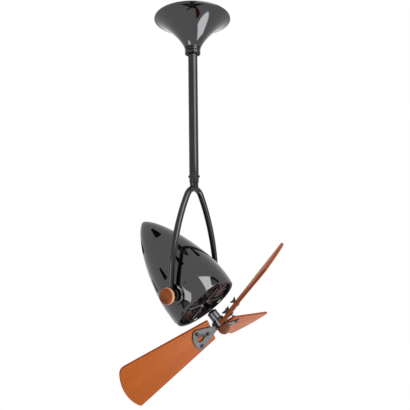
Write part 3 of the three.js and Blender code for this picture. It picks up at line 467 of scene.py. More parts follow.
rodSize = {"radius": 11.5, "bore": 9.5, "top": 18, "end": 406, "screwDrop": 391, "screwCount": 4,
           "screwAzimuth": 33, "headRadius": 3.3, "headHeight": 2.2, "chamfer": 0.6}
stemSize = {"radius": 10.3, "spigot": 9.1, "bore": 5, "shoulder": 406.4, "top": 374, "skirt": 420}


def makeRod():
    c = rodSize
    e = c["chamfer"]
    profile = [(c["bore"], -c["end"]), (c["radius"] - e, -c["end"]), (c["radius"], -c["end"] + e),
               (c["radius"], -c["top"] - e), (c["radius"] - e, -c["top"]), (c["bore"], -c["top"])]
    rod = turn("rodTube", profile, 96)
    return dress(rod, metals["tube"], "rod", "gunmetal", "downrod")


# a domed head with a driving slot, standing along +Z from its seat at height 0
def screwHead(name, radius, height, slotWidth, shank, shankLength):
    dome = [(shank, -shankLength), (shank, 0), (radius, 0), (radius, height * 0.35)]
    dome += [(radius * cos(a), height * (0.35 + 0.65 * sin(a))) for a in
             [pi / 2 * k / 6 for k in range(1, 6)]]
    profile = [(0, -shankLength)] + dome + [(0, height)]
    piece = turn(name, profile, 24, 40)
    pick(piece)
    bpy.ops.object.select_all(action="DESELECT")
    bpy.ops.mesh.primitive_cube_add(size=1, location=(0, 0, height * mm),
                                    scale=(radius * 3 * mm, slotWidth * mm, height * mm))
    slot = bpy.context.object
    cut(piece, slot)
    return smooth(piece, 40)


def makeRodScrews():
    c = rodSize
    model = screwHead("rodScrewModel", c["headRadius"], c["headHeight"], 0.9, 1.9, 2.0)
    seat = c["radius"] + 0.3
    for i in range(c["screwCount"]):
        azimuth = radians(c["screwAzimuth"] + 360 / c["screwCount"] * i)
        out = Matrix.Translation((0, 0, -c["screwDrop"] * mm)) @ Matrix.Rotation(azimuth, 4, "Z")
        out = out @ Matrix.Translation((seat * mm, 0, 0)) @ Matrix.Rotation(pi / 2, 4, "Y")
        screw = place(copyOf(model, "rodSetScrew%d" % (i + 1)), out)
        dress(screw, metals["screw"], "rod", "black_steel", "rod_screw_%d" % (i + 1))
    bpy.data.objects.remove(model)


makeRod()
makeRodScrews()


# ---- yoke: a leg arc, the top bend, the other leg arc, and an eye at each foot

yokeSize = {"radius": 7.5, "footRadius": 6.4, "pivotX": 98, "legArc": 410, "bend": 36,
            "eyeRadius": 11, "eyeLength": 15.4, "sides": 40, "thinFrom": 540, "copeGap": 0.15}


def yokeTube(name, grow=0.0):
    c = yokeSize
    legCentre = c["legArc"] - c["pivotX"]
    reach = c["legArc"] - c["bend"]
    sweep = acos(legCentre / reach)
    bendHeight = sqrt(reach ** 2 - legCentre ** 2)
    drop = head["pivotDrop"]
    bpy.ops.object.select_all(action="DESELECT")
    bpy.ops.mesh.primitive_circle_add(vertices=c["sides"], radius=(c["radius"] + grow) * mm,
                                      location=(0, 0, 0), fill_type="NGON")
    piece = named(bpy.context.object, name)
    place(piece, Matrix.Translation((c["pivotX"] * mm, 0, -drop * mm)))
    stages = [((-legCentre, -drop), sweep, 40), ((0, bendHeight - drop), pi - 2 * sweep, 28),
              ((legCentre, -drop), sweep, 40)]
    pick(piece)
    bpy.ops.object.mode_set(mode="EDIT")
    bpy.ops.mesh.select_all(action="SELECT")
    for (x, z), angle, steps in stages:
        bpy.ops.mesh.spin(steps=steps, angle=angle, center=(x * mm, 0, z * mm), axis=(0, 1, 0))
    bpy.ops.mesh.select_all(action="SELECT")
    bpy.ops.mesh.remove_doubles(threshold=1e-6)
    bpy.ops.mesh.normals_make_consistent(inside=False)
    bpy.ops.object.mode_set(mode="OBJECT")
    return piece


def makeYoke():
    c = yokeSize
    piece = yokeTube("yokeTube")
    legCentre = c["legArc"] - c["pivotX"]
    low = -head["pivotDrop"]
    for vertex in piece.data.vertices:     # the legs thin slightly towards the pivots
        x, y, z = vertex.co / mm
        side = 1 if x > 0 else -1
        down = max(0.0, min(1.0, (-c["thinFrom"] - z) / (-c["thinFrom"] - low)))
        scale = 1 - (1 - c["footRadius"] / c["radius"]) * down
        centre = side * (sqrt(max(c["legArc"] ** 2 - (z - low) ** 2, 0)) - legCentre)
        if down > 0:
            vertex.co = Vector((centre + (x - centre) * scale, y * scale, z)) * mm
    smooth(piece, 50)
    parts = [piece]
    for side in (-1, 1):
        half = c["eyeLength"] / 2
        r = c["eyeRadius"]
        eye = turn("yokeEye", [(0, -half), (r - 1, -half), (r - 0.3, -half + 0.3), (r, -half + 1),
                               (r, half - 1), (r - 0.3, half - 0.3), (r - 1, half), (0, half)], 48)
        place(eye, Matrix.Translation((side * c["pivotX"] * mm, 0, low * mm))
              @ Matrix.Rotation(side * pi / 2, 4, "Y"))
        parts.append(eye)
    yoke = join("yokeArch", *parts)
    return dress(yoke, metals["tube"], "yoke", "gunmetal", "yoke")


def makeStem():
    c = stemSize
    profile = [(c["bore"], -c["skirt"]), (c["radius"] - 0.4, -c["skirt"]), (c["radius"], -c["skirt"] + 0.4),
               (c["radius"], -c["shoulder"] - 0.4), (c["radius"] - 0.4, -c["shoulder"]),
               (c["spigot"], -c["shoulder"]), (c["spigot"], -c["top"]), (c["bore"], -c["top"])]
    stem = turn("stemSleeve", profile, 72)
    cut(stem, yokeTube("stemCope", yokeSize["copeGap"]))
    smooth(stem, 35)
    return dress(stem, metals["tube"], "yoke", "gunmetal", "swivel_stem")


makeYoke()
makeStem()
print("rod and yoke ready")


# ---- motor shell, cut by three rows of vents

shellSize = {"radius": 82.6, "noseLength": 226.7, "widest": -1.8, "powerLong": 1.57, "powerRound": 0.7,
             "wall": 1.8, "lipStart": 6.4, "lipEnd": 41.3, "lipDraw": 4.8, "lipRadius": 72.5,
             "shadeLip": 2.5, "shadeIn": 1.2}
ventRows = [
    {"count": 5, "first": 41, "point": -182, "base": -146, "pointWidth": 5, "baseWidth": 19, "from": 12},
    {"count": 10, "first": 2.5, "point": -75, "base": -42, "pointWidth": 5, "baseWidth": 11, "from": 50},
    {"count": 6, "first": 4, "point": 17.5, "base": 37.5, "pointWidth": 8, "baseWidth": 26, "from": 70},
]


def shellProfile(noseSteps, mouthSteps):
    c = shellSize
    points = []
    for i in range(noseSteps + 1):
        a = (1 - i / noseSteps) * pi / 2
        u = sin(a) ** (2 / c["powerLong"])
        r = 0.0 if i == 0 else c["radius"] * cos(a) ** (2 * c["powerRound"])
        points.append((r, c["widest"] - c["noseLength"] * u))
    points.append((c["radius"], c["lipStart"]))
    for i in range(1, mouthSteps + 1):
        a = i / mouthSteps * pi / 2
        points.append((c["radius"] - c["lipDraw"] * (1 - cos(a)),
                       c["lipStart"] + (c["lipEnd"] - c["lipStart"]) * sin(a)))
    return points


# a prism with a vent's outline, laid to point out from the motor axis
def ventCutter(row, azimuth):
    p, b = row["pointWidth"] / 2, row["baseWidth"] / 2
    low, high = row["point"], row["base"]
    pointRound = p * 0.95
    baseRound = min(b * 0.7, (high - low) / 3)
    outline = filleted([(low, -p), (high, -b), (high, b), (low, p)],
                       [pointRound, baseRound, baseRound, pointRound])
    reach = shellSize["radius"] * 1.2
    prism = cutPlate("ventCutter", outline, row["from"], reach, 0)
    lay = Matrix(((0, 0, 1, 0), (0, 1, 0, 0), (-1, 0, 0, 0), (0, 0, 0, 1)))
    return place(prism, Matrix.Rotation(radians(180 + azimuth), 4, "Z") @ lay)


def makeShell():
    c = shellSize
    outer = shellProfile(64, 16)
    inner = insetProfile(outer, c["wall"])
    inner[0] = (0.0, inner[0][1])
    inside = c["lipEnd"] - c["wall"]
    wallIn = [(r, s) for r, s in inner if s < inside - 0.4]
    lip = [(c["radius"] - c["lipDraw"] - 0.5, c["lipEnd"]), (c["lipRadius"] + 0.6, c["lipEnd"]),
           (c["lipRadius"], c["lipEnd"] - 0.5), (c["lipRadius"], inside),
           (wallIn[-1][0] - 0.6, inside), (wallIn[-1][0], inside - 0.3)]
    profile = outer[:-1] + [(outer[-1][0], c["lipEnd"] - 0.8)] + lip + wallIn[::-1]
    shell = turn("shellBullet", [(r, -s) for r, s in profile], 168, 30)
    cutters = [ventCutter(row, row["first"] + 360 / row["count"] * i)
               for row in ventRows for i in range(row["count"])]
    cut(shell, join("shellVents", *cutters))
    smooth(shell, 30)
    dress(shell, metals["shell"], "head", "gunmetal", "motor_shell")
    shell.data.materials.append(insideShadePaint)
    for face in shell.data.polygons:     # everything that lies inside the outer skin gets near-black paint: painted shade for the inside of the hollow shell
        x, y, z = face.center / mm
        along = -z
        inward = face.normal.x * x + face.normal.y * y < 0
        lipIn = hypot(x, y) < c["radius"] - c["lipDraw"] - c["shadeIn"]
        turnedIn = along > c["lipEnd"] - c["shadeLip"] and lipIn
        if inward or turnedIn:
            face.material_index = 1
    place(shell, headPlace)
    return shell


shellScrewSize = {"azimuth": 25, "along": -4, "radius": 3.2, "height": 1.6, "slot": 0.8,
                  "shank": 1.6, "length": 6}


def makeShellScrew():
    c = shellScrewSize
    screw = screwHead("shellSideScrew", c["radius"], c["height"], c["slot"], c["shank"], c["length"])
    out = headPlace @ Matrix.Translation((0, 0, -c["along"] * mm))
    out = out @ Matrix.Rotation(radians(180 + c["azimuth"]), 4, "Z")
    out = out @ Matrix.Translation(((shellSize["radius"] + 0.2) * mm, 0, 0))
    place(screw, out @ Matrix.Rotation(pi / 2, 4, "Y"))
    return dress(screw, metals["screw"], "head", "black_steel", "shell_screw")


makeShell()
makeShellScrew()
print("shell ready")


# ---- pivots: boss and stud and the wooden knobs; the washers are kept from model.glb

pivotSize = {"bossRadius": 24, "bossFace": 88.7, "bossRim": 78.6, "studRadius": 4, "studEnd": 116,
             "knobSeat": 107.3, "knobRadius": 18.5, "knobLength": 15.6, "knobBore": 4.3,
             "knobBoreDepth": 10, "bossRoot": 76.8, "bossRootRadius": 7, "bossShelf": 80,
             "bossHollow": 81.9, "domeShare": 0.93, "domeStart": 9.6, "domePower": 0.9,
             "rimHighlightFrom": 17.2, "rimHighlightFull": 18.4, "rimHighlightShare": 0.55}
# share of the knob's radius, height over its seat
knobCurve = ((0.86, 0), (0.93, 0.5), (0.985, 1.8), (1, 3.2), (1, 6.8), (0.985, 8.2), (0.95, 9.3))


def alongX(piece, side):
    return place(piece, Matrix.Translation((0, 0, -head["pivotDrop"] * mm))
                 @ Matrix.Rotation(side * pi / 2, 4, "Y"))


def makePivot(side, word, knobWood):
    c = pivotSize
    r, face = c["bossRadius"], c["bossFace"]
    boss = turn("pivotBoss" + word.title(), [
        (0, c["bossRoot"]), (c["bossRootRadius"], c["bossRoot"]), (c["bossRootRadius"], c["bossShelf"]),
        (c["studRadius"], c["bossShelf"]), (c["studRadius"], c["bossHollow"]), (r, c["bossRim"]),
        (r, face - 1.6), (r - 0.5, face - 0.5), (r - 1.6, face), (13.5, face),
        (13, face - 0.5), (12.4, face), (c["studRadius"], face), (c["studRadius"], c["studEnd"]),
        (0, c["studEnd"])], 96)
    dress(alongX(boss, side), metals["shell"], "head", "gunmetal", "pivot_boss_" + word)
    k, seat = c["knobRadius"], c["knobSeat"]
    top = c["knobLength"]
    profile = [(c["knobBore"], seat)] + [(k * share, seat + up) for share, up in knobCurve]
    profile += [(k * c["domeShare"] * cos(a) ** c["domePower"],
                 seat + c["domeStart"] + (top - c["domeStart"]) * sin(a)) for a in
                [pi / 2 * i / 12 for i in range(1, 12)]]
    profile += [(0, seat + top), (0, seat + c["knobBoreDepth"]), (c["knobBore"], seat + c["knobBoreDepth"])]
    # the profile's axis ends lie next to each other, so it is opened there
    split = profile.index((0, seat + top))
    opened = profile[split + 1:] + profile[:split + 1]
    knob = turn("knobWood" + word.title(), opened, 96, 50)
    dress(alongX(knob, side), knobWood, "knob_" + word, "blade_wood", "knob_" + word)


# the knob's turned rim is painted paler than its face: a painted highlight where the rim catches light
def knobFinish():
    c = pivotSize
    material, tree, shader, effect, local = woodFinish(
        "knobWood", (0.38, 0.095, 0.018), (0.08, 0.016, 0.004), (0, 0, radians(35)),
        (0, 0, -head["pivotDrop"] * mm), 1.0)
    split = addNode(tree, "SeparateXYZ", {"Vector": tree.nodes["Texture Coordinate"].outputs["Object"]})
    rise = addNode(tree, "Math", {0: split.outputs["Z"], 1: head["pivotDrop"] * mm}, operation="ADD")
    across = addNode(tree, "CombineXYZ", {"Y": split.outputs["Y"], "Z": rise.outputs[0]})
    radius = addNode(tree, "VectorMath", {0: across.outputs[0]}, operation="LENGTH")
    # painted highlight: the rim is blended towards pale orange by its radius from the knob's axis
    rim = stretched(tree, radius.outputs["Value"], c["rimHighlightFrom"] * mm, c["rimHighlightFull"] * mm, 0.0,
                    c["rimHighlightShare"])
    paintedRimHighlight = blended(tree, rim, effect.outputs["Color"], (0.72, 0.42, 0.2, 1))
    tree.links.new(paintedRimHighlight, shader.inputs["Base Color"])
    return material


knobWood = knobFinish()
for side, word in ((-1, "left"), (1, "right")):
    makePivot(side, word, knobWood)
print("pivots ready")


# ---- motor: wound coil, lower frame, bolts, shaft

motorSize = {"middle": 12.5, "stackLength": 30, "stackRadius": 67.5, "loops": 20, "loopSteps": 24,
             "power": 6, "overhang": 5.5, "outerReach": 3.9, "innerReach": 34.6, "bundle": 2.7,
             "strands": 6, "strandRadius": 0.95, "twist": 1.5, "boltCircle": 62, "boltAzimuth": 80,
             "boltCount": 4, "frameLow": 36.2, "frameHigh": 39.2, "armWidth": 9, "armEnd": 6.5,
             "bossOuter": 14.8, "bossInner": 11.3, "bossTop": 31.2, "shaftRadius": 6,
             "shaftTop": -22, "shaftEnd": 95.2, "clipGroove": 44, "clipWidth": 1.4}
# a near-black sheet round the motor that the vents look onto: painted shade standing in for the dark inside
# of the shell
shadeWrapSize = {"inner": 75.4, "outer": 76.2, "start": -1, "end": 37}
throughBoltSize = {"hexRadius": 4.6, "hexHeight": 3, "domeRadius": 3.9, "domeHeight": 2.9,
                   "domeLap": 0.2, "rod": 2.3, "head": 4.2, "headHeight": 3.5, "headRise": 3.8}


def signedPower(value, power):
    return abs(value) ** power if value >= 0 else -abs(value) ** power


# middle line of the winding: out along the stack, over its end, back through its slot
def windingLine():
    c = motorSize
    outer = c["stackRadius"] + c["outerReach"]
    middle = (outer + c["innerReach"]) / 2
    half = (outer - c["innerReach"]) / 2
    reach = c["stackLength"] / 2 + c["overhang"]
    step = 360 / c["loopSteps"]
    quarter = c["loopSteps"] // 12
    points = []
    for loop in range(c["loops"]):
        last = c["loopSteps"] - 4 * quarter if loop == c["loops"] - 1 else c["loopSteps"]
        for k in range(last):
            t = radians(-30 + k * step)
            r = middle + half * signedPower(cos(t), 2 / c["power"])
            s = c["middle"] + reach * signedPower(sin(t), 2 / c["power"])
            move = min(k / (2 * quarter), 1) - 1
            azimuth = radians(c["boltAzimuth"] - 360 / c["loops"] * (loop + 0.5 + move))
            points.append(Vector((r * cos(azimuth), r * sin(azimuth), -s)))
    return points


def makeWinding():
    c = motorSize
    line = windingLine()
    strands = []
    ringRadius = c["bundle"] - c["strandRadius"] - 0.05
    for strand in range(c["strands"] + 1):
        bpy.ops.object.select_all(action="DESELECT")
        curve = bpy.data.curves.new("strand", "CURVE")
        curve.dimensions = "3D"
        curve.bevel_depth = c["strandRadius"] * mm
        curve.bevel_resolution = 2
        curve.use_fill_caps = True
        spline = curve.splines.new("POLY")
        spline.points.add(len(line) - 1)
        for i, point in enumerate(line):
            tangent = (line[min(i + 1, len(line) - 1)] - line[max(i - 1, 0)]).normalized()
            around = Vector((0, 0, 1)).cross(Vector((point.x, point.y, 0))).normalized()
            side = tangent.cross(around).normalized()
            other = tangent.cross(side).normalized()
            angle = 2 * pi * strand / c["strands"] + i * c["twist"] / c["loopSteps"] * 2 * pi
            out = 0.0 if strand == c["strands"] else ringRadius
            onStrand = point + side * out * cos(angle) + other * out * sin(angle)
            spline.points[i].co = (*(onStrand * mm), 1)
        wireObject = bpy.data.objects.new("strand", curve)
        bpy.context.collection.objects.link(wireObject)
        pick(wireObject)
        bpy.ops.object.convert(target="MESH")
        strands.append(bpy.context.object)
    winding = join("windingCoils", *strands)
    smooth(winding, 60)
    place(winding, headPlace)
    return dress(winding, enamelWire, "head", "enamel_wire", "stator_winding")


def makeLowerFrame():
    c = motorSize
    parts = [turn("frameBoss", [(c["bossInner"], -c["frameHigh"]), (c["bossOuter"] - 0.6, -c["frameHigh"]),
                                (c["bossOuter"], -c["frameHigh"] + 0.6), (c["bossOuter"], -c["bossTop"]),
                                (c["bossInner"], -c["bossTop"])], 64)]
    half = c["armWidth"] / 2
    end = c["boltCircle"]
    start = (c["bossInner"] + c["bossOuter"]) / 2
    swing = pi - asin(half / c["armEnd"])
    outline = [(start, half), (start, -half)] + arc(end, 0, c["armEnd"], -swing, swing, 20)
    for i in range(c["boltCount"]):
        arm = cutPlate("frameArm", outline, -c["frameHigh"], -c["frameLow"], 0.5)
        place(arm, Matrix.Rotation(radians(c["boltAzimuth"] + 90 * i), 4, "Z"))
        parts.append(arm)
    lower = join("lowerFrame", *parts)
    place(lower, headPlace)
    return dress(lower, framePaint, "head", "black_steel", "motor_frame_lower")


def makeMotorBolts():
    c = motorSize
    b = throughBoltSize
    seat = c["frameHigh"] + 0.3
    nut = cutPlate("nutHex", [(b["hexRadius"] * cos(pi / 3 * k), b["hexRadius"] * sin(pi / 3 * k))
                              for k in range(6)], -seat - b["hexHeight"], -seat, 0.35)
    foot = -seat - b["hexHeight"] + b["domeLap"]
    dome = turn("nutDome", [(0, foot), (b["domeRadius"], foot)]
                + [(b["domeRadius"] * cos(a), foot - b["domeHeight"] * sin(a))
                   for a in [pi / 2 * k / 8 for k in range(1, 8)]]
                + [(0, foot - b["domeHeight"])], 32)
    topSeat = -c["middle"] + c["stackLength"] / 2 + c["overhang"] + c["bundle"] + b["headRise"]
    top = topSeat + b["headHeight"]
    rod = turn("boltRod", [(0, -seat), (b["rod"], -seat), (b["rod"], topSeat), (b["head"], topSeat),
                           (b["head"], top - 0.3), (b["head"] - 0.4, top), (0, top)], 24)
    model = join("motorBoltModel", nut, dome, rod)
    for i in range(c["boltCount"]):
        bolt = copyOf(model, "motorThroughBolt%d" % (i + 1))
        place(bolt, headPlace @ Matrix.Rotation(radians(c["boltAzimuth"] + 90 * i), 4, "Z")
              @ Matrix.Translation((c["boltCircle"] * mm, 0, 0)))
        dress(bolt, metals["screw"], "head", "black_steel", "motor_bolt_%d" % (i + 1))
    bpy.data.objects.remove(model)


def makeShaft():
    c = motorSize
    r = c["shaftRadius"]
    g, w = c["clipGroove"], c["clipWidth"]
    profile = [(0, c["shaftTop"]), (r - 0.5, c["shaftTop"]), (r, c["shaftTop"] + 0.5), (r, g),
               (r - 0.4, g + 0.2), (r - 0.4, g + w - 0.2), (r, g + w), (r, c["shaftEnd"]),
               (0, c["shaftEnd"])]
    shaft = turn("shaftBar", [(q, -s) for q, s in profile], 64)
    place(shaft, headPlace)
    return dress(shaft, metals["tube"], "rotor", "zinc_steel", "motor_shaft")


# painted shade: a dark sheet round the motor so the vents show shade
def makeShadeWrap():
    c = shadeWrapSize
    wrap = turn("motorShadeWrap", [(c["inner"], -c["end"]), (c["outer"], -c["end"]),
                              (c["outer"], -c["start"]), (c["inner"], -c["start"])], 96)
    place(wrap, headPlace)
    return dress(wrap, insideShadePaint, "head", "black_steel")


makeWinding()
makeShadeWrap()
makeLowerFrame()
makeMotorBolts()
makeShaft()
print("motor ready")


# ---- hub and cap

hubSize = {"top": 64, "radius": 12, "end": 103.5, "bore": 6.3, "grooveAt": 71, "grooveWidth": 2,
           "web": 8, "studRadius": 4.5, "studLength": 9}
capSize = {"radius": 14, "length": 20.5, "seat": 103.8, "bore": 4.8, "roof": 112.9, "domeSteps": 14,
           "domeStart": 6}
# share of the cap's radius, height over its seat
capCurve = ((0.8, 0), (0.9, 0.5), (0.975, 1.8), (1, 3.6), (1, 6))


def makeHub():
    c = hubSize
    r = c["radius"]
    g = c["grooveAt"]
    end = c["end"]
    profile = [(0, end - c["web"]), (c["bore"], end - c["web"]), (c["bore"], c["top"]),
               (r - 1.4, c["top"]), (r - 0.4, c["top"] + 0.4), (r, c["top"] + 1.4), (r, g - 0.3),
               (r - 0.3, g), (r - 1, g), (r - 1, g + c["grooveWidth"]), (r - 0.3, g + c["grooveWidth"]),
               (r, g + c["grooveWidth"] + 0.3), (r, end - 0.5), (r - 0.5, end), (c["studRadius"], end),
               (c["studRadius"], end + c["studLength"]), (0, end + c["studLength"])]
    hub = turn("hubSleeve", [(q, -s) for q, s in profile], 96)
    place(hub, headPlace)
    return dress(hub, metals["hub"], "rotor", "gunmetal", "hub")


def makeCap(capWood):
    c = capSize
    r, seat = c["radius"], c["seat"]
    steps, rise = c["domeSteps"], c["domeStart"]
    profile = [(0, c["roof"]), (c["bore"], c["roof"]), (c["bore"], seat)]
    profile += [(r * share, seat + up) for share, up in capCurve]
    profile += [(r * cos(a), seat + rise + (c["length"] - rise) * sin(a)) for a in
                [pi / 2 * k / steps for k in range(1, steps)]]
    profile += [(0, seat + c["length"])]
    cap = turn("capAcorn", [(q, -s) for q, s in profile], 80, 50)
    place(cap, headPlace)
    return dress(cap, capWood, "rotor", "cap_wood", "hub_cap")


makeHub()
capWood = woodFinish("capWood", (0.2, 0.07, 0.03), (0.09, 0.025, 0.01),
                     tuple((headPlace @ Matrix.Rotation(pi / 2, 4, "Y")).to_euler()),
                     tuple(headPlace.to_translation()), 1.0)[0]
makeCap(capWood)
print("hub ready")


# ---- blades, brackets, screws and wing nuts

bladeSize = {"plane": 96, "thickness": 6, "edge": 1.4, "phase": 14, "step": 120,
             "pitches": (12, 35, 20),
             "rootReach": 24.5, "rootHalf": 28.5, "tipReach": 237.5, "tipHalf": 58.8, "tipBulge": 15,
             "leadRound": 12, "trailRound": 5, "rootRound": 3}
bracketSize = {"thickness": 2.6, "neckHalf": 6, "earReach": 61.5, "earSide": 18.5, "earRadius": 9.5,
               "reach": 76, "holeReach": 58, "holeLong": 8.5, "holeWide": 6.5, "frontScrew": 38,
               "padInner": 12.3, "padThick": 3.2, "padTop": 86, "padEnd": 103, "padHalfAngle": 36,
               "screwAlong": 90}
# radius or reach from the bolt's axis, height over the blade
nutBarrel = ((1.95, 0), (4.0, 0), (4.2, 0.4), (3.4, 4.6), (3.1, 5), (1.95, 5))
nutWing = ((2.2, 0.8), (3.6, 0.6), (9.7, 5.6), (9.4, 7.8), (7.2, 8), (2.2, 4.4))
nutWingRounds = (0.3, 0.8, 1.4, 1.1, 1.4, 0.3)


def bladePlace(i):
    c = bladeSize
    azimuth = radians(c["phase"] + c["step"] * i)
    return (headPlace @ Matrix.Translation((0, 0, -c["plane"] * mm)) @ Matrix.Rotation(azimuth, 4, "Z")
            @ Matrix.Rotation(radians(c["pitches"][i]), 4, "X"))


def bladeOutline():
    c = bladeSize
    half, bulge = c["tipHalf"], c["tipBulge"]
    radius = (half ** 2 + bulge ** 2) / (2 * bulge)
    centre = c["tipReach"] + bulge - radius
    limit = asin(half / radius)
    low = limit - c["trailRound"] / radius
    high = limit - c["leadRound"] / radius
    tip = arc(centre, 0, radius, -low, high, 28)
    rootUp = Vector((c["rootReach"], c["rootHalf"]))
    rootDown = Vector((c["rootReach"], -c["rootHalf"]))
    tipUp = Vector((c["tipReach"], half))
    tipDown = Vector((c["tipReach"], -half))
    points = corner(rootUp, rootDown, tipDown, c["rootRound"], 5)
    points += corner(rootDown, tipDown, Vector(tip[0]), c["trailRound"], 6)[:-1]
    points += tip
    points += corner(Vector(tip[-1]), tipUp, rootUp, c["leadRound"], 8)[1:]
    points += corner(tipUp, rootUp, rootDown, c["rootRound"], 5)
    return points


def bracketOutline():
    c = bracketSize
    neckX = c["padInner"] + c["padThick"] / 2
    toEar = atan2(c["earSide"] - c["neckHalf"], c["earReach"] - neckX)
    spread = asin(c["earRadius"] / hypot(c["earSide"] - c["neckHalf"], c["earReach"] - neckX))
    tangent = -pi / 2 - toEar - spread
    fall = c["reach"] - c["earReach"]
    endRadius = (c["earSide"] ** 2 + fall ** 2 - c["earRadius"] ** 2) / (2 * (fall - c["earRadius"]))
    endCentre = c["reach"] - endRadius
    meet = atan2(c["earSide"], c["earReach"] - endCentre)
    lowEar = arc(c["earReach"], -c["earSide"], c["earRadius"], tangent, -meet, 14)
    bow = arc(endCentre, 0, endRadius, -meet, meet, 18)
    highEar = arc(c["earReach"], c["earSide"], c["earRadius"], meet, -tangent, 14)
    return [(neckX, c["neckHalf"]), (neckX, -c["neckHalf"])] + lowEar + bow[1:] + highEar[1:]


def makeBlade(i):
    c = bladeSize
    half = c["thickness"] / 2
    blade = cutPlate("bladePaddle%d" % (i + 1), bladeOutline(), -half, half, c["edge"], 4)
    place(blade, bladePlace(i))
    # the last colour is the painted shade on the blade's edge band
    wood = bladeWood("bladeWood%d" % (i + 1), bladePlace(i), (0.34, 0.078, 0.006),
                     (0.24, 0.046, 0.003), (0.2, 0.036, 0.003), half)
    return dress(blade, wood, "rotor", "blade_wood", "blade_%d" % (i + 1))


def makeBracket(i):
    c = bracketSize
    top = -bladeSize["thickness"] / 2 - 0.3
    leaf = cutPlate("bracketLeaf", bracketOutline(), top - c["thickness"], top, 0)
    oval = [(c["holeReach"] + c["holeLong"] * cos(2 * pi * k / 40), c["holeWide"] * sin(2 * pi * k / 40))
            for k in range(40)]
    cut(leaf, cutPlate("ovalCutter", oval, top - c["thickness"] - 1, top + 1, 0))
    bevelEdges(leaf, 0.45, 2, 40)
    smooth(leaf)
    place(leaf, bladePlace(i))
    halfAngle = radians(c["padHalfAngle"])
    inner, outer = c["padInner"], c["padInner"] + c["padThick"]
    sector = arc(0, 0, outer, -halfAngle, halfAngle, 20) + arc(0, 0, inner, halfAngle, -halfAngle, 20)
    pad = cutPlate("bracketPad", sector, -c["padEnd"], -c["padTop"], 0.4)
    azimuth = Matrix.Rotation(radians(bladeSize["phase"] + bladeSize["step"] * i), 4, "Z")
    place(pad, headPlace @ azimuth)
    bracket = join("bracketArm%d" % (i + 1), leaf, pad)
    dress(bracket, metals["plate"], "rotor", "black_steel", "blade_bracket_%d" % (i + 1))
    screw = screwHead("bracketPadScrew%d" % (i + 1), 3, 2, 0.8, 1.8, 3)
    place(screw, headPlace @ Matrix.Translation((0, 0, -c["screwAlong"] * mm)) @ azimuth
          @ Matrix.Translation(((outer + 0.3) * mm, 0, 0)) @ Matrix.Rotation(pi / 2, 4, "Y"))
    dress(screw, metals["screw"], "rotor", "black_steel", "bracket_screw_%d" % (i + 1))


# screw head under the bracket, wing nut above the blade
def boltModel():
    half = bladeSize["thickness"] / 2
    seat = -half - 0.6 - bracketSize["thickness"]
    nutSeat = half + 0.3
    screw = screwHead("boltHead", 4.2, 2.4, 1.0, 1.9, 1)
    place(screw, Matrix.Translation((0, 0, seat * mm)) @ Matrix.Rotation(pi, 4, "X"))
    shank = turn("boltShank", [(0, seat), (1.9, seat), (1.9, nutSeat + 6.2), (1.6, nutSeat + 6.5),
                               (0, nutSeat + 6.5)], 24)
    nut = turn("nutBarrel", [(r, nutSeat + up) for r, up in nutBarrel], 32)
    wings = []
    for side in (-1, 1):
        outline = filleted([(out, nutSeat + up) for out, up in nutWing], nutWingRounds, 5)
        wing = cutPlate("nutWing", outline, -0.95, 0.95, 0.5, 2)
        place(wing, Matrix.Rotation(0 if side > 0 else pi, 4, "Z") @ Matrix.Rotation(pi / 2, 4, "X"))
        wings.append(wing)
    return join("bladeBoltModel", screw, shank, nut, *wings)


def makeBladeBolts():
    c = bracketSize
    model = boltModel()
    spots = [(c["frontScrew"], 0), (c["earReach"], c["earSide"]), (c["earReach"], -c["earSide"])]
    for i in range(len(bladeSize["pitches"])):
        for k, (x, y) in enumerate(spots):
            bolt = copyOf(model, "bladeWingBolt%d%d" % (i + 1, k + 1))
            place(bolt, bladePlace(i) @ Matrix.Translation((x * mm, y * mm, 0)))
            dress(bolt, metals["screw"], "rotor", "black_steel", "blade_bolt_%d_%d" % (i + 1, k + 1))
    bpy.data.objects.remove(model)


for i in range(len(bladeSize["pitches"])):
    makeBlade(i)
    makeBracket(i)
makeBladeBolts()
print("blades ready")


# ---- the CAD pieces that keep their shape get their finishes

kept = {
    "ceiling_bracket": metals["zinc"], "hanger_pin": metals["zinc"], "hanger_pin_clip": metals["zinc"],
    "knob_washer_left": metals["zinc"], "knob_washer_right": metals["zinc"],
    "bearing_upper": metals["zinc"], "bearing_lower": metals["zinc"],
    "hanger_bush_left": blackRubber, "hanger_bush_right": blackRubber,
    "friction_washer_left": blackRubber, "friction_washer_right": blackRubber,
    "terminal_block": paleNylon, "run_capacitor": blackPlastic, "collar_screw": metals["screw"],
    "stator_stack": laminatedSteel, "rotor_core": laminatedSteel,
    "motor_frame_upper": framePaint,
}
for node, material in kept.items():
    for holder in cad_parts[node].material_slots:
        holder.material = material


# ---- floor, world, lamps and camera

# the camera and reflections see plain white; other rays see the surface itself
def seenWhite(tree, surface, kind, output):
    light = tree.nodes.new("ShaderNodeLightPath")
    seen = addNode(tree, "Math", {0: light.outputs["Is Camera Ray"], 1: light.outputs["Is Glossy Ray"]},
                   operation="MAXIMUM")
    either = addNode(tree, "Math", {0: seen.outputs[0], 1: light.outputs["Is Transmission Ray"]},
                     operation="MAXIMUM")
    white = addNode(tree, kind, {"Color": (1, 1, 1, 1), "Strength": 1.0})
    mix = tree.nodes.new("ShaderNodeMixShader")
    for socket, node in zip(mix.inputs, (either, surface, white)):
        tree.links.new(node.outputs[0], socket)
    tree.links.new(mix.outputs[0], tree.nodes[output].inputs["Surface"])


def makeFloor():
    bpy.ops.object.select_all(action="DESELECT")
    bpy.ops.mesh.primitive_circle_add(vertices=96, radius=6, fill_type="NGON", location=(0, 0, -1.6))
    floor = named(bpy.context.object, "paleFloor")
    material = bpy.data.materials.new("paleFloorPaint")
    material.use_nodes = True
    tree = material.node_tree
    shader = tree.nodes["Principled BSDF"]
    shader.inputs["Base Color"].default_value = (0.85, 0.85, 0.85, 1)
    shader.inputs["Roughness"].default_value = 0.9
    seenWhite(tree, shader, "Emission", "Material Output")
    floor.data.materials.append(material)


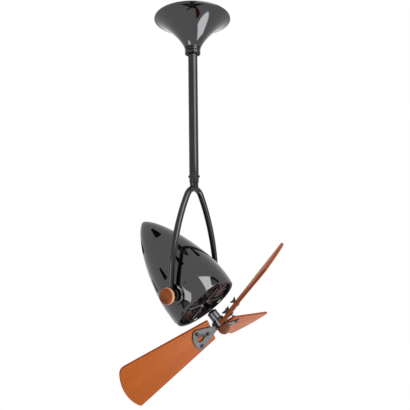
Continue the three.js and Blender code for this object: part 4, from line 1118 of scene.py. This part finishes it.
def makeWorld():
    world = bpy.data.worlds.new("studioWorld")
    bpy.context.scene.world = world
    world.use_nodes = True
    tree = world.node_tree
    ambient = tree.nodes["Background"]
    ambient.inputs["Color"].default_value = (1, 1, 1, 1)
    ambient.inputs["Strength"].default_value = 0.55
    seenWhite(tree, ambient, "Background", "World Output")


camera = {"position": (-939.3, -610.0, -532.0), "turn": 57.0, "yaw": 1.3, "pitch": 3.7, "roll": -0.7,
          "focal": 470.0, "pictureWidth": 410.0, "sensor": 36.0}
lamps = [
    {"name": "keyLamp", "right": 0.75, "up": 0.95, "near": 0.75, "size": 1.0, "power": 16},
    {"name": "fillLamp", "right": -0.9, "up": 0.1, "near": 1.0, "size": 0.7, "power": 6},
    {"name": "lowLamp", "right": 0.95, "up": -0.6, "near": 0.3, "size": 0.9, "power": 14},
]


def viewAxes():
    c = camera
    yaw, pitch, roll = radians(c["yaw"]), radians(c["pitch"]), radians(c["roll"])
    ahead = Vector((sin(yaw) * cos(pitch), cos(yaw) * cos(pitch), sin(pitch)))
    right = Vector((cos(yaw), -sin(yaw), 0))
    up = right.cross(ahead)
    turnView = Matrix.Rotation(radians(-c["turn"]), 3, "Z")
    rolledRight = right * cos(roll) + up * sin(roll)
    rolledUp = -right * sin(roll) + up * cos(roll)
    return turnView @ ahead, turnView @ rolledRight, turnView @ rolledUp


def makeCamera():
    c = camera
    ahead, right, up = viewAxes()
    lens = bpy.data.cameras.new("photoCamera")
    lens.sensor_width = c["sensor"]
    lens.lens = c["sensor"] * c["focal"] / c["pictureWidth"]
    lens.clip_start = 0.05
    lens.clip_end = 50
    eye = bpy.data.objects.new("photoCamera", lens)
    bpy.context.collection.objects.link(eye)
    turned = Matrix((right, up, -ahead)).transposed().to_4x4()
    eye.matrix_world = Matrix.Translation(Vector(c["position"]) * mm) @ turned
    bpy.context.scene.camera = eye


def makeLamps():
    ahead, right, up = viewAxes()
    target = Vector((0, -0.02, -0.66))
    for c in lamps:
        spot = target + right * c["right"] + up * c["up"] - ahead * c["near"]
        data = bpy.data.lights.new(c["name"], "AREA")
        data.shape = "SQUARE"
        data.size = c["size"]
        data.energy = c["power"]
        lamp = bpy.data.objects.new(c["name"], data)
        bpy.context.collection.objects.link(lamp)
        facing = (target - spot).to_track_quat("-Z", "Y").to_matrix().to_4x4()
        lamp.matrix_world = Matrix.Translation(spot) @ facing


makeFloor()
makeWorld()
makeLamps()
makeCamera()
bpy.context.scene.view_settings.view_transform = "Standard"

print("scene ready")
